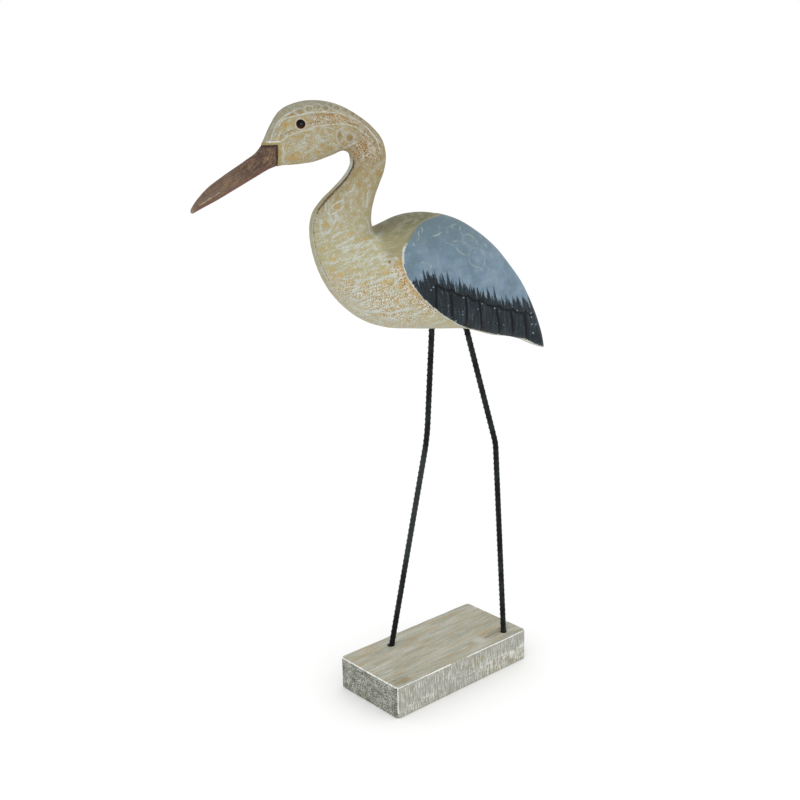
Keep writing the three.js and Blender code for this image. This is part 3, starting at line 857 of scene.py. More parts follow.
def carved_wood():
    finish = Finish("limewashed_carving")
    mark, rise, blend = finish.mark, finish.rise, finish.blend
    here = finish.bird_place()
    ahead, left, up = finish.parts(here)
    along, around_it, hem = mark("along"), mark("around"), mark("hem")
    run = up * math.sin(ROW_RISE) - ahead * math.cos(ROW_RISE)
    row = ahead * math.sin(ROW_RISE) + up * math.cos(ROW_RISE)
    cloud = finish.spots(here, 13) - 0.5
    patch = finish.spots(here, 5) - 0.5
    fine = finish.spots(here, 1.3) - 0.5
    speck = finish.spots(here, 0.8, 0) - 0.5
    neck_brush = finish.noise(finish.join(along * (1 / 9), around_it * (1 / 1.4), left * (1 / 9)), 3) - 0.5
    row_brush = finish.noise(finish.join(run * (1 / 6), row * (1 / 2), left * (1 / 14)), 3) - 0.5
    hem_brush = finish.noise(finish.join(along * (1 / 16), hem * (1 / 1.2), 3.0), 3) - 0.5
    row_blot = finish.noise(finish.join(run * (1 / 10), row * (1 / 4), left * (1 / 14)), 1) - 0.5
    on_breast, on_hem = mark("on_breast"), mark("on_hem")
    brush = neck_brush + (row_brush - neck_brush) * on_breast
    brush = brush + (hem_brush - brush) * on_hem
    blot = patch + (row_blot - patch) * on_breast
    rows = (row * (2 * math.pi / ROW_PITCH) + cloud * 12 + patch * 4).wave() * on_breast * (1 - on_hem)
    stipple = mark("speckle")
    ochre = rise(mark("ochre") + blot * 1.6 + fine * 1.6 + speck * 1.2, -0.1, 0.8)
    pale = rise(mark("pale") + patch * 1.2 + fine * 1.2 + speck * 0.8, -0.1, 0.8)
    grit = fine * (0.65 + stipple * 0.4) + speck * (0.6 + stipple * 0.5)
    bare = brush * 0.9 + grit + blot * 0.55 + rows * 0.07 + ochre * 0.16 - pale * 0.16
    warmth = mark("warm") * 0.8 + blot * 2.4 + cloud * 1.4 + ochre * 0.8 - pale * 0.5
    wood = blend(warmth, OLIVE_WOOD, OCHRE_WOOD)
    base = blend(rise(bare, -0.08, 0.18) * 0.9, CREAM, wood)
    base = blend(rise(bare * -1, 0.04, 0.24) * 0.8, base, WHITEWASH)
    net = finish.outlines(ahead * (1 / 9) + up * 0.03 + patch * 1.5, up * (1 / 8) + cloud * 2.4)
    net = (1 - rise(net + fine * 0.14, 0.0, 0.13)) * rise(cloud + brush * 0.7, -0.08, 0.08) * mark("net")
    base = blend(net * 0.5, base, WHITEWASH)
    base = blend(stipple * rise(speck + brush * 0.3 + fine * 0.2, 0.052, 0.132) * 0.9, base, RUST_WOOD)
    dot = finish.spots(here, 0.95, 0) - 0.5
    base = blend(stipple * rise(dot + brush * -0.3 + fine * 0.2, 0.08, 0.16) * 0.9, base, LINE_WHITE)
    base = blend(mark("gold") * rise(fine + dot + patch, -0.3, 0.1) * 0.8, base, WING_GOLD)
    base = blend(on_hem * (0.45 + brush * 1.2), base, HEM_GREY)
    base = blend(on_hem * rise(hem_brush + fine * 0.6, 0.04, 0.16) * 0.7, base, WHITEWASH)
    base = blend(on_hem * rise(hem_brush * -1 + cloud + fine * 0.5, 0.08, 0.2) * 0.6, base, OCHRE_WOOD)
    crown = mark("crown")
    base = blend(mark("on_head") * rise(dot + fine * 0.4, 0.14, 0.22) * 0.35, base, RUST_WOOD)
    base = blend(crown * (0.65 + neck_brush * 1.6 + fine * 1.6 + dot * 1.4), base, GREEN_GREY)
    base = blend(rise(mark("spot_rim") + fine * 1.6 + patch * 2.6, 0.5, 1.1) * 0.7, base, WHITEWASH)
    base = blend(rise(mark("spot") + fine * 2 + patch * 1.6, 0.4, 1.1) * 0.6, base, SPOT_TAN)
    base = finish.glaze(mark("glaze") * (0.95 + patch * 1.1), base, NECK_GLAZE)
    # The shoulder is painted darker olive towards the top of the back
    top = rise(up + neck_brush * 26, 407, 424)
    shoulder = blend(top, OLIVE, DARK_OLIVE)
    shoulder = blend(rise(neck_brush + fine * 0.6, 0.02, 0.25) * 0.4, shoulder, CREAM)
    base = blend(mark("olive") * (0.9 + brush * 0.8), base, shoulder)
    rust = rise(mark("rust") + fine * 1.3 + speck * 0.8, 0.45, 0.95)
    base = blend(rust * 0.6, base, RUST_WOOD)
    wash = rise(mark("wash") + fine * 1.7 + speck * 1.2 + patch * 0.8, 0.5, 1.1)
    base = blend(wash * 0.85, base, WHITEWASH)
    base = blend(rise(mark("rim_line") + fine * 1.4 + patch, 0.35, 0.8) * 0.85, base, LINE_WHITE)
    base = blend(mark("front_band") * (0.5 + brush), base, BAND_OLIVE)
    # Painted highlight: whitish light over the upper part of the planed neck front
    base = blend(mark("upper_band") * rise(neck_brush + fine * 0.5, -0.3, 0.0) * 0.8, base, BAND_HIGHLIGHT_WHITE)
    base = blend(mark("dashes") * rise(patch + speck * 0.6, -0.08, 0.08) * 0.8, base, WHITEWASH)
    # The dark line along the crease at the edge of the planed neck front is brown paint with painted shade laid into
    # the cut
    crease = rise(mark("crease") + fine * 0.9 + patch * 0.6, 0.3, 0.75)
    base = blend(crease * 0.85, base, blend(on_breast, CREASE_SHADE_BROWN, CREASE_SHADE_RED))
    base = blend(rise(mark("lid") + fine * 0.8, 0.3, 0.8) * 0.85, base, LID_CREAM)
    into_beak = mark("beak") + fine * 1.2
    base = blend(rise(into_beak, -2.7, -1.9) * (1 - wash) * 0.65, base, RIM_TAN)
    edge = rise(mark("inset") + fine * 2.4 + patch, -0.7, -0.2)
    base = blend(edge * rise(410 - up, 0, 6) * 0.85, base, WHITEWASH)
    base = blend(mark("knot"), base, KNOT_RED)
    height = bare * -0.5 + fine * 0.5
    finish.set(Base_Color=base, Roughness=0.72 + fine * 0.2, Specular_IOR_Level=0.22,
               Normal=finish.relief(height, 0.2))
    return finish.material


SLATE_BLUE = colour("#687d8e")
PALE_BLUE = colour("#748999")
DULL_BLUE_AND_SHADE = colour("#5c6f74")
SCALE_CREAM = colour("#909a93")
SCALE_RUST = colour("#7d7365")
SCUFF_GREY = colour("#a9aea6")
FEATHER_BLACK = colour("#192125")
FEATHER_GREY = colour("#36434b")
GROOVE_SHADE_BLACK = colour("#050608")
CHALK_BLUE = colour("#93a4ac")
WORN_RIM = colour("#d6d5cb")


def wing_paint():
    finish = Finish("wing_paint")
    mark, rise, blend = finish.mark, finish.rise, finish.blend
    here = finish.bird_place()
    ahead, left, up = finish.parts(here)
    cloud = finish.spots(here, 16) - 0.5
    patch = finish.spots(here, 5) - 0.5
    fine = finish.spots(here, 1.2) - 0.5
    blue = blend(rise(cloud + patch * 0.5, -0.12, 0.16), SLATE_BLUE, PALE_BLUE)
    blue = blend(rise(cloud * -1 + fine * 0.5, 0.02, 0.2) * 0.6, blue, DULL_BLUE_AND_SHADE)
    # Painted shade: the blue darkens towards the top of the wing, where it curves away
    blue = blend(rise(up + cloud * 40, 385, 428) * 0.75, blue, DULL_BLUE_AND_SHADE)
    net = finish.outlines(ahead * (1 / 13) + cloud * 1.3, up * (1 / 14) + ahead * 0.02 + patch * 0.4)
    line = (1 - rise(net + fine * 0.06, 0.01, 0.07)) * rise(cloud + patch * 0.6, 0.0, 0.12) * 0.3
    line = line.at_least(rise(mark("scale") + fine * 1.3 + patch * 1.3, 0.5, 1.1) * 0.65)
    blue = blend(line, blue, SCALE_CREAM)
    fleck = finish.spots(here, 2.6, 1) - 0.5
    blue = blend(rise(fleck + cloud * 0.4, 0.18, 0.25) * 0.35, blue, SCALE_RUST)
    blue = blend(rise(fleck * -1 + patch * 0.5, 0.18, 0.28) * 0.3, blue, SCALE_CREAM)
    scuff = rise(mark("scuff") + fine * 1.4 + patch * 0.6, 0.5, 1.0)
    blue = blend(scuff * 0.55, blue, SCUFF_GREY)
    lean = ahead - up * 0.2
    # Over the ridge of the tail, where the side strokes would run into rings, they part from side to side
    ridge = left * rise((left * left) ** 0.5 * -1, -11, -5) * (1 / 2.1)
    spike = finish.noise(finish.join(lean * (1 / 2.1), ridge + 3, up * (1 / 34)), 2, 0.6) - 0.5
    coarse = finish.noise(finish.join(lean * (1 / 4.5), ridge * 0.5 + 9, up * (1 / 40)), 1) - 0.5
    depth = mark("band") + spike * 38 + coarse * 12 + 1.5
    black = rise(depth, -0.7, 0.8)
    streak = finish.noise(finish.join(lean * (1 / 2.0), ridge + 5, up * (1 / 16)), 3) - 0.5
    feather = blend(rise(streak + fine * 0.5, -0.04, 0.2) * 0.75, FEATHER_BLACK, FEATHER_GREY)
    feather = blend((1 - rise(depth, 0.0, 5.0)) * rise(fine + spike, -0.05, 0.15) * 0.5, feather, SLATE_BLUE)
    # Painted shade: near-black in the cut grooves between the long feathers
    feather = blend(rise(mark("cut"), 0.15, 0.7) * 0.9, feather, GROOVE_SHADE_BLACK)
    speck = finish.noise(finish.join(lean * (1 / 1.3), left * (1 / 2), up * (1 / 2.4)), 2) - 0.5
    feather = blend(rise(speck + streak * 0.5 + patch * 0.3, 0.2, 0.3) * 0.5, feather, CHALK_BLUE)
    chips = 0.0
    for chip_ahead, chip_up, size in FEATHER_CHIPS:
        off = (((ahead - chip_ahead) ** 2 + (up - chip_up) ** 2) ** 0.5) * (1 / size)
        chips = (1 - rise(off + fine * 3.2, 0.4, 1.3)).at_least(chips)
    feather = blend(chips * 0.7, feather, CHALK_BLUE)
    base = blend(black, blue, feather)
    low = rise(412 - up, 0, 8)
    rim = rise(mark("inset") * -1 + fine * 3.4 + patch * 2.6, -1.0, -0.4) * low
    rim = rim * (1 - rise(372 - up, 0, 6) * rise(patch + fine * 0.6, -0.04, 0.08))
    tail = (1 - rise(mark("hem") + streak * 5, 1.6, 3.2)) * rise(ahead * -1 + patch * 10, 62, 74)
    base = blend(rim.at_least(tail), base, WORN_RIM)
    # Painted shade: olive along the upper part of the wing's edge, standing for the shadow of its step
    base = blend(rise(mark("inset") * -1 + fine * 2, -1.4, -0.4) * (1 - low) * 0.8, base, OLIVE)
    height = fine * 0.8 + black * 0.25 + streak * 0.5
    finish.set(Base_Color=base, Roughness=0.56 + fine * 0.3, Specular_IOR_Level=0.2,
               Normal=finish.relief(height, 0.14))
    return finish.material


BEAK_BROWN = colour("#695449")
BEAK_DARK = colour("#47372e")
BEAK_DUSTY = colour("#857161")
BEAK_WARM = colour("#7d633c")
BEAK_WORN = colour("#9c957c")
BEAK_RED = colour("#6f473c")
STEP_SHADE_DARK = colour("#30231a")


def beak_paint():
    finish = Finish("beak_paint")
    mark, rise, blend = finish.mark, finish.rise, finish.blend
    here = finish.bird_place()
    along, around_it, hem = mark("along"), mark("around"), mark("hem")
    _, left, _ = finish.parts(here)
    streak = finish.noise(finish.join(along * (1 / 7), around_it * (1 / 1.3), left * (1 / 8)), 3) - 0.5
    blot = finish.spots(here, 4.5) - 0.5
    fine = finish.spots(here, 1.1) - 0.5
    base = blend(rise(streak + fine * 1.1 + blot * 0.5, -0.2, 0.14), BEAK_DARK, BEAK_BROWN)
    base = blend((1 - rise(along + blot * 30, 38, 62)) * 0.3, base, BEAK_DUSTY)
    base = blend(rise(blot + streak + fine * 1.2, 0.04, 0.24) * 0.55, base, BEAK_WARM)
    base = blend((1 - rise(hem + streak * 6, 1.5, 4)) * 0.5, base, BEAK_RED)
    mouth = rise(mark("mouth") + fine * 1.4 + blot * 1.6, 0.5, 1.0) * (1 - rise(along + blot * 20, 26, 40))
    base = blend(mouth * 0.75, base, BEAK_WORN)
    tip = 1 - rise(along + fine * 9, 1.0, 6.0)
    base = blend(tip * 0.5, base, BEAK_WORN)
    speck = rise(fine + blot * 0.5 + streak * 0.3, 0.22, 0.3)
    base = blend(speck * 0.5, base, BEAK_WORN)
    # Painted shade: the beak darkens next to the step where it is cut back from the head
    step_shade = 1 - rise(mark("beak") + fine * 0.8, 0.9, 2.2)
    base = blend(step_shade * 0.75, base, STEP_SHADE_DARK)
    height = streak * 0.9 + fine * 0.6
    finish.set(Base_Color=base, Roughness=0.62 + fine * 0.2, Specular_IOR_Level=0.2,
               Normal=finish.relief(height, 0.18))
    return finish.material


def eye_gloss():
    finish = Finish("eye_gloss")
    ahead, _, up = finish.parts(finish.bird_place())
    ring = ((ahead - EYE_PLACE[0]) ** 2 + (up - EYE_PLACE[1]) ** 2) ** 0.5
    lower = finish.rise(ring + (EYE_PLACE[1] - up) * 0.6, 1.8, 4.0)
    base = finish.blend(lower, colour("#030304"), colour("#38190d"))
    # Coat only on a small blue-tinted spot in the middle of the bead: a painted highlight, where the front lamp and
    # the white room reflect
    highlight_spot = 1 - finish.rise(ring, 0.7, 1.1)
    finish.set(Base_Color=base, Roughness=0.06, Specular_IOR_Level=0.1, Coat_Weight=highlight_spot, Coat_Roughness=0.02,
               Coat_Tint=(0.75, 0.88, 1, 1))
    return finish.material


ROD_BLACK = colour("#101413")
ROD_GREY = colour("#242a28")
# Worn grey for rubbed specks on the rods, and for the painted sheen on the near rod
ROD_WEAR_AND_SHEEN = colour("#3d423e")


def rod_black():
    finish = Finish("rod_black")
    here = finish.stretch(finish.place(), (1 / MM,) * 3)
    patch = finish.noise(finish.stretch(here, (1 / 6, 1 / 6, 1 / 12)), 3)
    fine = finish.spots(here, 0.8)
    base = finish.blend(finish.rise(patch, 0.4, 0.7), ROD_BLACK, ROD_GREY)
    base = finish.blend(finish.rise(fine, 0.62, 0.78) * 0.35, base, ROD_WEAR_AND_SHEEN)
    x, _, up = finish.parts(here)
    # Painted sheen: a lighter band over the near rod's lower length, where light catches it
    painted_sheen = finish.rise(up, 90, 135) * (1 - finish.rise(up, 205, 225)) * (1 - finish.rise(x, 10, 30))
    base = finish.blend(painted_sheen * 0.5, base, ROD_WEAR_AND_SHEEN)
    finish.set(Base_Color=base, Roughness=0.6 + fine * 0.14, Specular_IOR_Level=0.14,
               Normal=finish.relief(fine, 0.1))
    return finish.material


TOP_DARK = colour("#96937f")
TOP_GREY = colour("#a8a695")
TOP_LIGHT = colour("#b8b8ae")
TOP_COOL = colour("#9da49c")
BLOCK_TAN = colour("#ad946c")
BLOCK_STAIN = colour("#776749")
SIDE_GREY = colour("#93938a")
SIDE_BROWN = colour("#918a70")
END_DARK = colour("#585a4c")
END_GREY = colour("#818475")
BLOCK_WHITE = colour("#d4d6d1")
EDGE_WHITE = colour("#eaeae6")
HOLE_SHADE_DARK = colour("#1b1916")
# Stains on the block's top: along, across, half length, half width
BLOCK_STAINS = [(55.0, -25.0, 19.0, 4.5), (68.0, -22.0, 8.0, 3.5), (-70.0, -31.0, 11.0, 6.5)]
BLOCK_WORN_PATCH = (34.0, -24.0, 7.0, 6.0)
EDGE_GAP = -8  # where the white line along the front edge is rubbed off


def block_wood():
    finish = Finish("limewashed_block")
    mark, rise, blend = finish.mark, finish.rise, finish.blend
    here = finish.stretch(finish.place(), (1 / MM,) * 3)
    x, y, z = finish.parts(here)
    on_top, on_end = mark("on_top"), mark("on_end")
    fibre = finish.noise(finish.join(x * (1 / 30), y * (1 / 1.1), z * (1 / 1.1)), 4, 0.65) - 0.5
    broad = finish.noise(finish.join(x * (1 / 50), y * (1 / 7), z * (1 / 7)), 2) - 0.5
    fine = finish.spots(here, 1.1) - 0.5
    streak = finish.noise(finish.join(x * (1 / 20), y * (1 / 0.9), 6.0), 2) - 0.5
    top = blend(rise(fibre + broad * 0.9 + fine * 0.4, -0.2, 0.04), TOP_DARK, TOP_GREY)
    top = blend(rise(fibre * 0.8 + broad * 0.6 + fine * 0.6, 0.0, 0.2), top, TOP_LIGHT)
    band = finish.noise(finish.join(x * (1 / 35), y * (1 / 6), 11.0), 3) - 0.5
    top = blend(rise(broad * -1 + streak * 0.4 + fine * 0.3, 0.02, 0.2) * 0.5, top, TOP_COOL)
    top = blend(rise(band + streak * 0.3 + fine * 0.3, 0.0, 0.24) * 0.65, top, BLOCK_TAN)
    top = blend(rise(streak + broad * -0.6 + fine * 0.3, 0.14, 0.26) * 0.65, top, BLOCK_WHITE)
    for along, across, half_long, half_wide in BLOCK_STAINS:
        off = ((x - along) * (1 / half_long)) ** 2 + ((y - across) * (1 / half_wide)) ** 2
        top = blend((1 - rise(off + fibre * 2.5 + fine, 0.0, 1.3)) * 0.5, top, BLOCK_STAIN)
    along, across, half_long, half_wide = BLOCK_WORN_PATCH
    off = ((x - along) * (1 / half_long)) ** 2 + ((y - across) * (1 / half_wide)) ** 2
    top = blend((1 - rise(off + fibre * 2 + fine * 3, 0.0, 1.2)) * 0.4, top, BLOCK_WHITE)
    saw = finish.noise(finish.join(x * (1 / 0.6), y * (1 / 30), z * (1 / 7)), 1, 0.6) - 0.5
    level = finish.noise(finish.join(x * (1 / 14), 2.0, z * (1 / 0.8)), 2) - 0.5
    side = blend(rise(broad + fibre * 0.6, -0.04, 0.2), SIDE_GREY, SIDE_BROWN)
    side = blend(rise(saw + fine * 0.6, -0.06, 0.1) * 0.6, side, TOP_LIGHT)
    middle = rise(z, 4, 9) * (1 - rise(z, 14, 22))
    side = blend(rise(saw + broad * 0.3 + fine * 0.5, 0.08, 0.18) * 0.8, side, BLOCK_WHITE)
    side = blend(rise(level + saw * 0.7 + broad * 0.5, 0.03, 0.13) * middle * 0.8, side, BLOCK_WHITE)
    rough = finish.noise(finish.join(2.0, y * (1 / 0.5), z * (1 / 1.1)), 0) - 0.5
    across_it = finish.noise(finish.join(5.0, y * (1 / 1.1), z * (1 / 0.5)), 0) - 0.5
    mottle = finish.noise(finish.join(7.0, y * (1 / 8), z * (1 / 6)), 2) - 0.5
    end = blend(rise(mottle * 0.3 + rough + fine * 0.4, -0.1, 0.1), END_DARK, END_GREY)
    scratch = rise(rough.at_least(across_it) + mottle * 0.4 + fine * 0.4, 0.12, 0.2)
    end = blend(scratch * 0.9, end, BLOCK_WHITE)
    base = blend(on_top, side, top)
    base = blend(on_end, base, end)
    edge = rise(mark("edge") + fine * 1.1 + broad * 1.2 + fibre * 0.6, 0.3, 0.7)
    base = blend(edge * 0.95, base, EDGE_WHITE)
    # Painted shade inside the rod holes
    base = blend(mark("hole"), base, HOLE_SHADE_DARK)
    ribs = fibre * on_top + (1 - on_top) * (saw * (1 - on_end) + on_end * rough)
    finish.set(Base_Color=base, Roughness=0.76 + fine * 0.2, Specular_IOR_Level=0.2,
               Normal=finish.relief(ribs * 0.9 + fine * 0.5, 0.22))
    return finish.material


# Pieces

def make_bird():
    where, triangles = refine(*coarse_skin(), skin, carving_edge)
    flat_points = skin(where)
    marks = bird_marks(where, flat_points)
    wing_rise = WING_STEP * smooth(marks["inset"], -0.35, 1.0)
    beak_fall = BEAK_STEP * smooth(marks["beak"], -0.3, 0.6)
    points = skin(where, wing_rise - beak_fall)
    points = points + outward(points, triangles) * marks.pop("relief")[:, None]
    inset = marks["inset"][triangles].mean(axis=1)
    beak = marks["beak"][triangles].mean(axis=1)
    material_of = np.where(beak > 0, 2, np.where(inset > 0, 1, 0))
    finishes = [carved_wood(), wing_paint(), beak_paint()]
    bird = make_piece("carved_bird", to_frame(points), triangles, finishes, material_of, marks)
    settle(bird, "bird")


def make_eyes():
    gloss = eye_gloss()
    for side in ("left", "right"):
        node = "eye_" + side
        low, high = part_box(node)
        mesh = bpy.data.meshes.new(node + "_bead")
        piece = bpy.data.objects.new(node + "_bead", mesh)
        bpy.context.scene.collection.objects.link(piece)
        grown = bead_mesh((low + high) / 2, (high.z - low.z) / 2)
        mesh.from_pydata(*grown)
        mesh.materials.append(gloss)
        mesh.shade_smooth()
        settle(piece, node)


def bead_mesh(centre, radius, rings=24, sides=48):
    """A round bead with its poles above and below."""
    points = [centre + Vector((0, 0, radius))]
    for ring in range(1, rings):
        fall = math.pi * ring / rings
        for side in range(sides):
            turn = 2 * math.pi * side / sides
            out = radius * math.sin(fall)
            points.append(centre + Vector((out * math.cos(turn), out * math.sin(turn), radius * math.cos(fall))))
    points.append(centre - Vector((0, 0, radius)))
    last = len(points) - 1
    faces = []
    for side in range(sides):
        after = (side + 1) % sides
        faces.append((0, 1 + side, 1 + after))
        faces.append((last, last - sides + after, last - sides + side))
        for ring in range(rings - 2):
            a, b = 1 + ring * sides + side, 1 + ring * sides + after
            faces.append((a, a + sides, b + sides, b))
    return points, [], faces


def leg_line(hip, knee, foot, bend, side):
    """Points down the middle of a rod, from inside the belly to inside the block, with its knee rounded."""
    hip, knee, foot = Vector(hip), Vector(knee), Vector(foot)
    thigh, shank = (hip - knee).normalized(), (foot - knee).normalized()
    start, end = knee + thigh * bend, knee + shank * bend
    line = [hip + thigh * ROD_INTO_BELLY]
    for step in range(9):
        share = step / 8
        line.append(start * (1 - share) ** 2 + knee * 2 * share * (1 - share) + end * share ** 2)
    line.append(foot + shank * ROD_INTO_BLOCK)
    return to_frame([(point.x, side * LEG_APART, point.y) for point in line])


def ribbed_rod_tree():
    """A rod along a curve, with three rows of slanting ribs rolled into it."""
    tree = bpy.data.node_groups.new("ribbed_rod", "GeometryNodeTree")
    face = tree.interface
    face.new_socket("Geometry", in_out="INPUT", socket_type="NodeSocketGeometry")
    sizes = {}
    starts = {"Core Radius": 0.002, "Rib Height": 0.0003, "Rib Pitch": 0.005, "Rib Slant": 0.5, "First Row": 0.5}
    for name, start in starts.items():
        sizes[name] = face.new_socket(name, in_out="INPUT", socket_type="NodeSocketFloat")
        sizes[name].default_value = start
    face.new_socket("Finish", in_out="INPUT", socket_type="NodeSocketMaterial")
    face.new_socket("Geometry", in_out="OUTPUT", socket_type="NodeSocketGeometry")
    nodes, links = tree.nodes, tree.links
    given, result = nodes.new("NodeGroupInput"), nodes.new("NodeGroupOutput")

    def add(kind, settings=None, inputs=None):
        node = nodes.new(kind)
        for setting, value in (settings or {}).items():
            setattr(node, setting, value)
        for socket, value in (inputs or {}).items():
            if isinstance(value, bpy.types.NodeSocket):
                links.new(value, node.inputs[socket])
            else:
                node.inputs[socket].default_value = value
        return node

    core = add("GeometryNodeCurvePrimitiveCircle", None, {"Resolution": 20, "Radius": given.outputs["Core Radius"]})
    rod = add("GeometryNodeCurveToMesh", None, {
        "Curve": given.outputs["Geometry"], "Profile Curve": core.outputs["Curve"], "Fill Caps": True})
    joined = add("GeometryNodeJoinGeometry")
    links.new(rod.outputs["Mesh"], joined.inputs[0])
    bead = add("GeometryNodeCurvePrimitiveCircle", None, {"Resolution": 6, "Radius": given.outputs["Rib Height"]})
    sweep = math.radians(95)
    arc = add("GeometryNodeCurveArc", None, {
        "Resolution": 9, "Radius": given.outputs["Core Radius"], "Start Angle": -sweep / 2, "Sweep Angle": sweep})
    rib = add("GeometryNodeCurveToMesh", None, {
        "Curve": arc.outputs["Curve"], "Profile Curve": bead.outputs["Curve"], "Fill Caps": True})
    slant = add("ShaderNodeCombineXYZ", None, {"X": given.outputs["Rib Slant"]})
    for row in range(3):
        stretch = add("GeometryNodeTrimCurve", {"mode": "FACTOR"}, {
            "Curve": given.outputs["Geometry"], "Start": 0.012 * row, "End": 1.0})
        spots = add("GeometryNodeCurveToPoints", {"mode": "LENGTH"}, {
            "Curve": stretch.outputs["Curve"], "Length": given.outputs["Rib Pitch"]})
        angle = add("ShaderNodeMath", {"operation": "ADD"}, {
            0: given.outputs["First Row"], 1: math.radians(120) * row})
        axis = add("ShaderNodeCombineXYZ", None, {"Z": angle.outputs[0]})
        turn = add("FunctionNodeEulerToRotation", None, {0: axis.outputs[0]})
        around_rod = add("FunctionNodeRotateRotation", {"rotation_space": "LOCAL"}, {
            "Rotation": spots.outputs["Rotation"], "Rotate By": turn.outputs[0]})
        tilt = add("FunctionNodeEulerToRotation", None, {0: slant.outputs[0]})
        slanted = add("FunctionNodeRotateRotation", {"rotation_space": "LOCAL"}, {
            "Rotation": around_rod.outputs[0], "Rotate By": tilt.outputs[0]})
        ribs = add("GeometryNodeInstanceOnPoints", None, {
            "Points": spots.outputs["Points"], "Instance": rib.outputs["Mesh"], "Rotation": slanted.outputs[0]})
        links.new(ribs.outputs["Instances"], joined.inputs[0])
    real = add("GeometryNodeRealizeInstances", None, {0: joined.outputs[0]})
    finished = add("GeometryNodeSetMaterial", None, {
        "Geometry": real.outputs[0], "Material": given.outputs["Finish"]})
    links.new(finished.outputs[0], result.inputs[0])
    return tree, {socket.name: socket.identifier for socket in face.items_tree if socket.in_out == "INPUT"}


def make_legs():
    tree, sockets = ribbed_rod_tree()
    finish = rod_black()
    sizes = {
        "Core Radius": ROD_CORE / 2 * MM,
        "Rib Height": ROD_RIB * MM,
        "Rib Pitch": 5 * MM,
        "Rib Slant": math.radians(32),
        "Finish": finish,
    }
    for node, side, hip, knee, foot, bend, *_ in LEGS:
        line = leg_line(hip, knee, foot, bend, side)
        curve = bpy.data.curves.new(node + "_line", "CURVE")
        curve.dimensions = "3D"
        spline = curve.splines.new("POLY")
        spline.points.add(len(line) - 1)
        for point, place in zip(spline.points, line):
            point.co = (*place, 1.0)
        holder = bpy.data.objects.new(node + "_line", curve)
        bpy.context.scene.collection.objects.link(holder)
        modifier = holder.modifiers.new("ribbed rod", "NODES")
        modifier.node_group = tree
        modifier[sockets["First Row"]] = ROD_ROW_TURN[node]
        for name, value in sizes.items():
            modifier[sockets[name]] = value
        seen = holder.evaluated_get(bpy.context.evaluated_depsgraph_get())
        mesh = bpy.data.meshes.new_from_object(seen)
        bpy.data.objects.remove(holder)
        mesh.name = node + "_rod"
        mesh.shade_smooth()
        piece = bpy.data.objects.new(node + "_rod", mesh)
        bpy.context.scene.collection.objects.link(piece)
        settle(piece, node)


BLOCK_HALF = np.array([BLOCK_LENGTH / 2, BLOCK_WIDTH / 2, BLOCK_HEIGHT / 2])


def rounded_pair(first, second, radius, half_first, half_second):
    """Rounds a square corner, given two coordinates that run to their half sizes."""
    over_first = np.abs(first) - (half_first - radius)
    over_second = np.abs(second) - (half_second - radius)
    in_corner = (over_first > 0) & (over_second > 0)
    far = np.maximum(over_first, over_second)
    length = np.maximum(np.hypot(over_first, over_second), 1e-9)
    new_first = np.where(in_corner, half_first - radius + over_first * far / length, np.abs(first))
    new_second = np.where(in_corner, half_second - radius + over_second * far / length, np.abs(second))
    return np.sign(first) * new_first, np.sign(second) * new_second


def block_shape(where):
    """The worn block: where holds points of a plain one about its middle."""
    x, y, z = where.T
    inner = np.minimum(BLOCK_HALF[0] - np.abs(x), BLOCK_HALF[1] - np.abs(y))
    x, y = rounded_pair(x, y, BLOCK_CORNER, BLOCK_HALF[0], BLOCK_HALF[1])
    side = BLOCK_EDGE - inner
    top = BLOCK_EDGE - (BLOCK_HALF[2] - np.abs(z))
    on_edge = (side > 0) & (top > 0)
    pull = np.where(on_edge, 1 - np.maximum(side, top) / np.maximum(np.hypot(side, top), 1e-9), 0)
    z = z - np.sign(z) * pull * np.maximum(top, 0)
    length = np.maximum(np.hypot(x / BLOCK_HALF[0], y / BLOCK_HALF[1]), 1e-9)
    shrink = pull * np.maximum(side, 0)
    reach_x = np.clip((np.abs(x) - (BLOCK_HALF[0] - BLOCK_CORNER)) / BLOCK_CORNER, 0, 1)
    reach_y = np.clip((np.abs(y) - (BLOCK_HALF[1] - BLOCK_CORNER)) / BLOCK_CORNER, 0, 1)
    x = x - np.sign(x) * shrink * reach_x
    y = y - np.sign(y) * shrink * reach_y
    return np.stack([x, y, z + BLOCK_HALF[2]], -1)


def foot_holes():
    """For each hole in the block: its middle at the top, its radius and the direction that it runs down in."""
    holes = []
    for _, side, _, knee, foot, _, width, shift in LEGS:
        run = np.array([foot[0] - knee[0], 0, foot[1] - knee[1]])
        down = to_frame([run])[0] - to_frame([(0, 0, 0)])[0]
        middle = to_frame([(foot[0] + shift, side * LEG_APART, BLOCK_HEIGHT)])[0] / MM
        holes.append((middle, width / 2, down / abs(down[2])))
    return holes


FOOT_HOLES = foot_holes()


def hole_offset(points):
    """Distance outside the rim of the nearest hole, over the block's top."""
    gaps = [np.hypot(points[:, 0] - middle[0], points[:, 1] - middle[1]) - radius for middle, radius, _ in FOOT_HOLES]
    return np.where(points[:, 2] > BLOCK_HEIGHT - 2, np.min(gaps, axis=0), 99)


def block_edge(where, points):
    """How long the mesh's edges may be over the block."""
    from_side = np.sort(BLOCK_HALF - np.abs(where), axis=1)[:, 1]
    edge = np.where(from_side < 2.6, 0.7, 2.4)
    edge = np.where(np.abs(hole_offset(points)) < 0.8, 0.35, edge)
    return edge


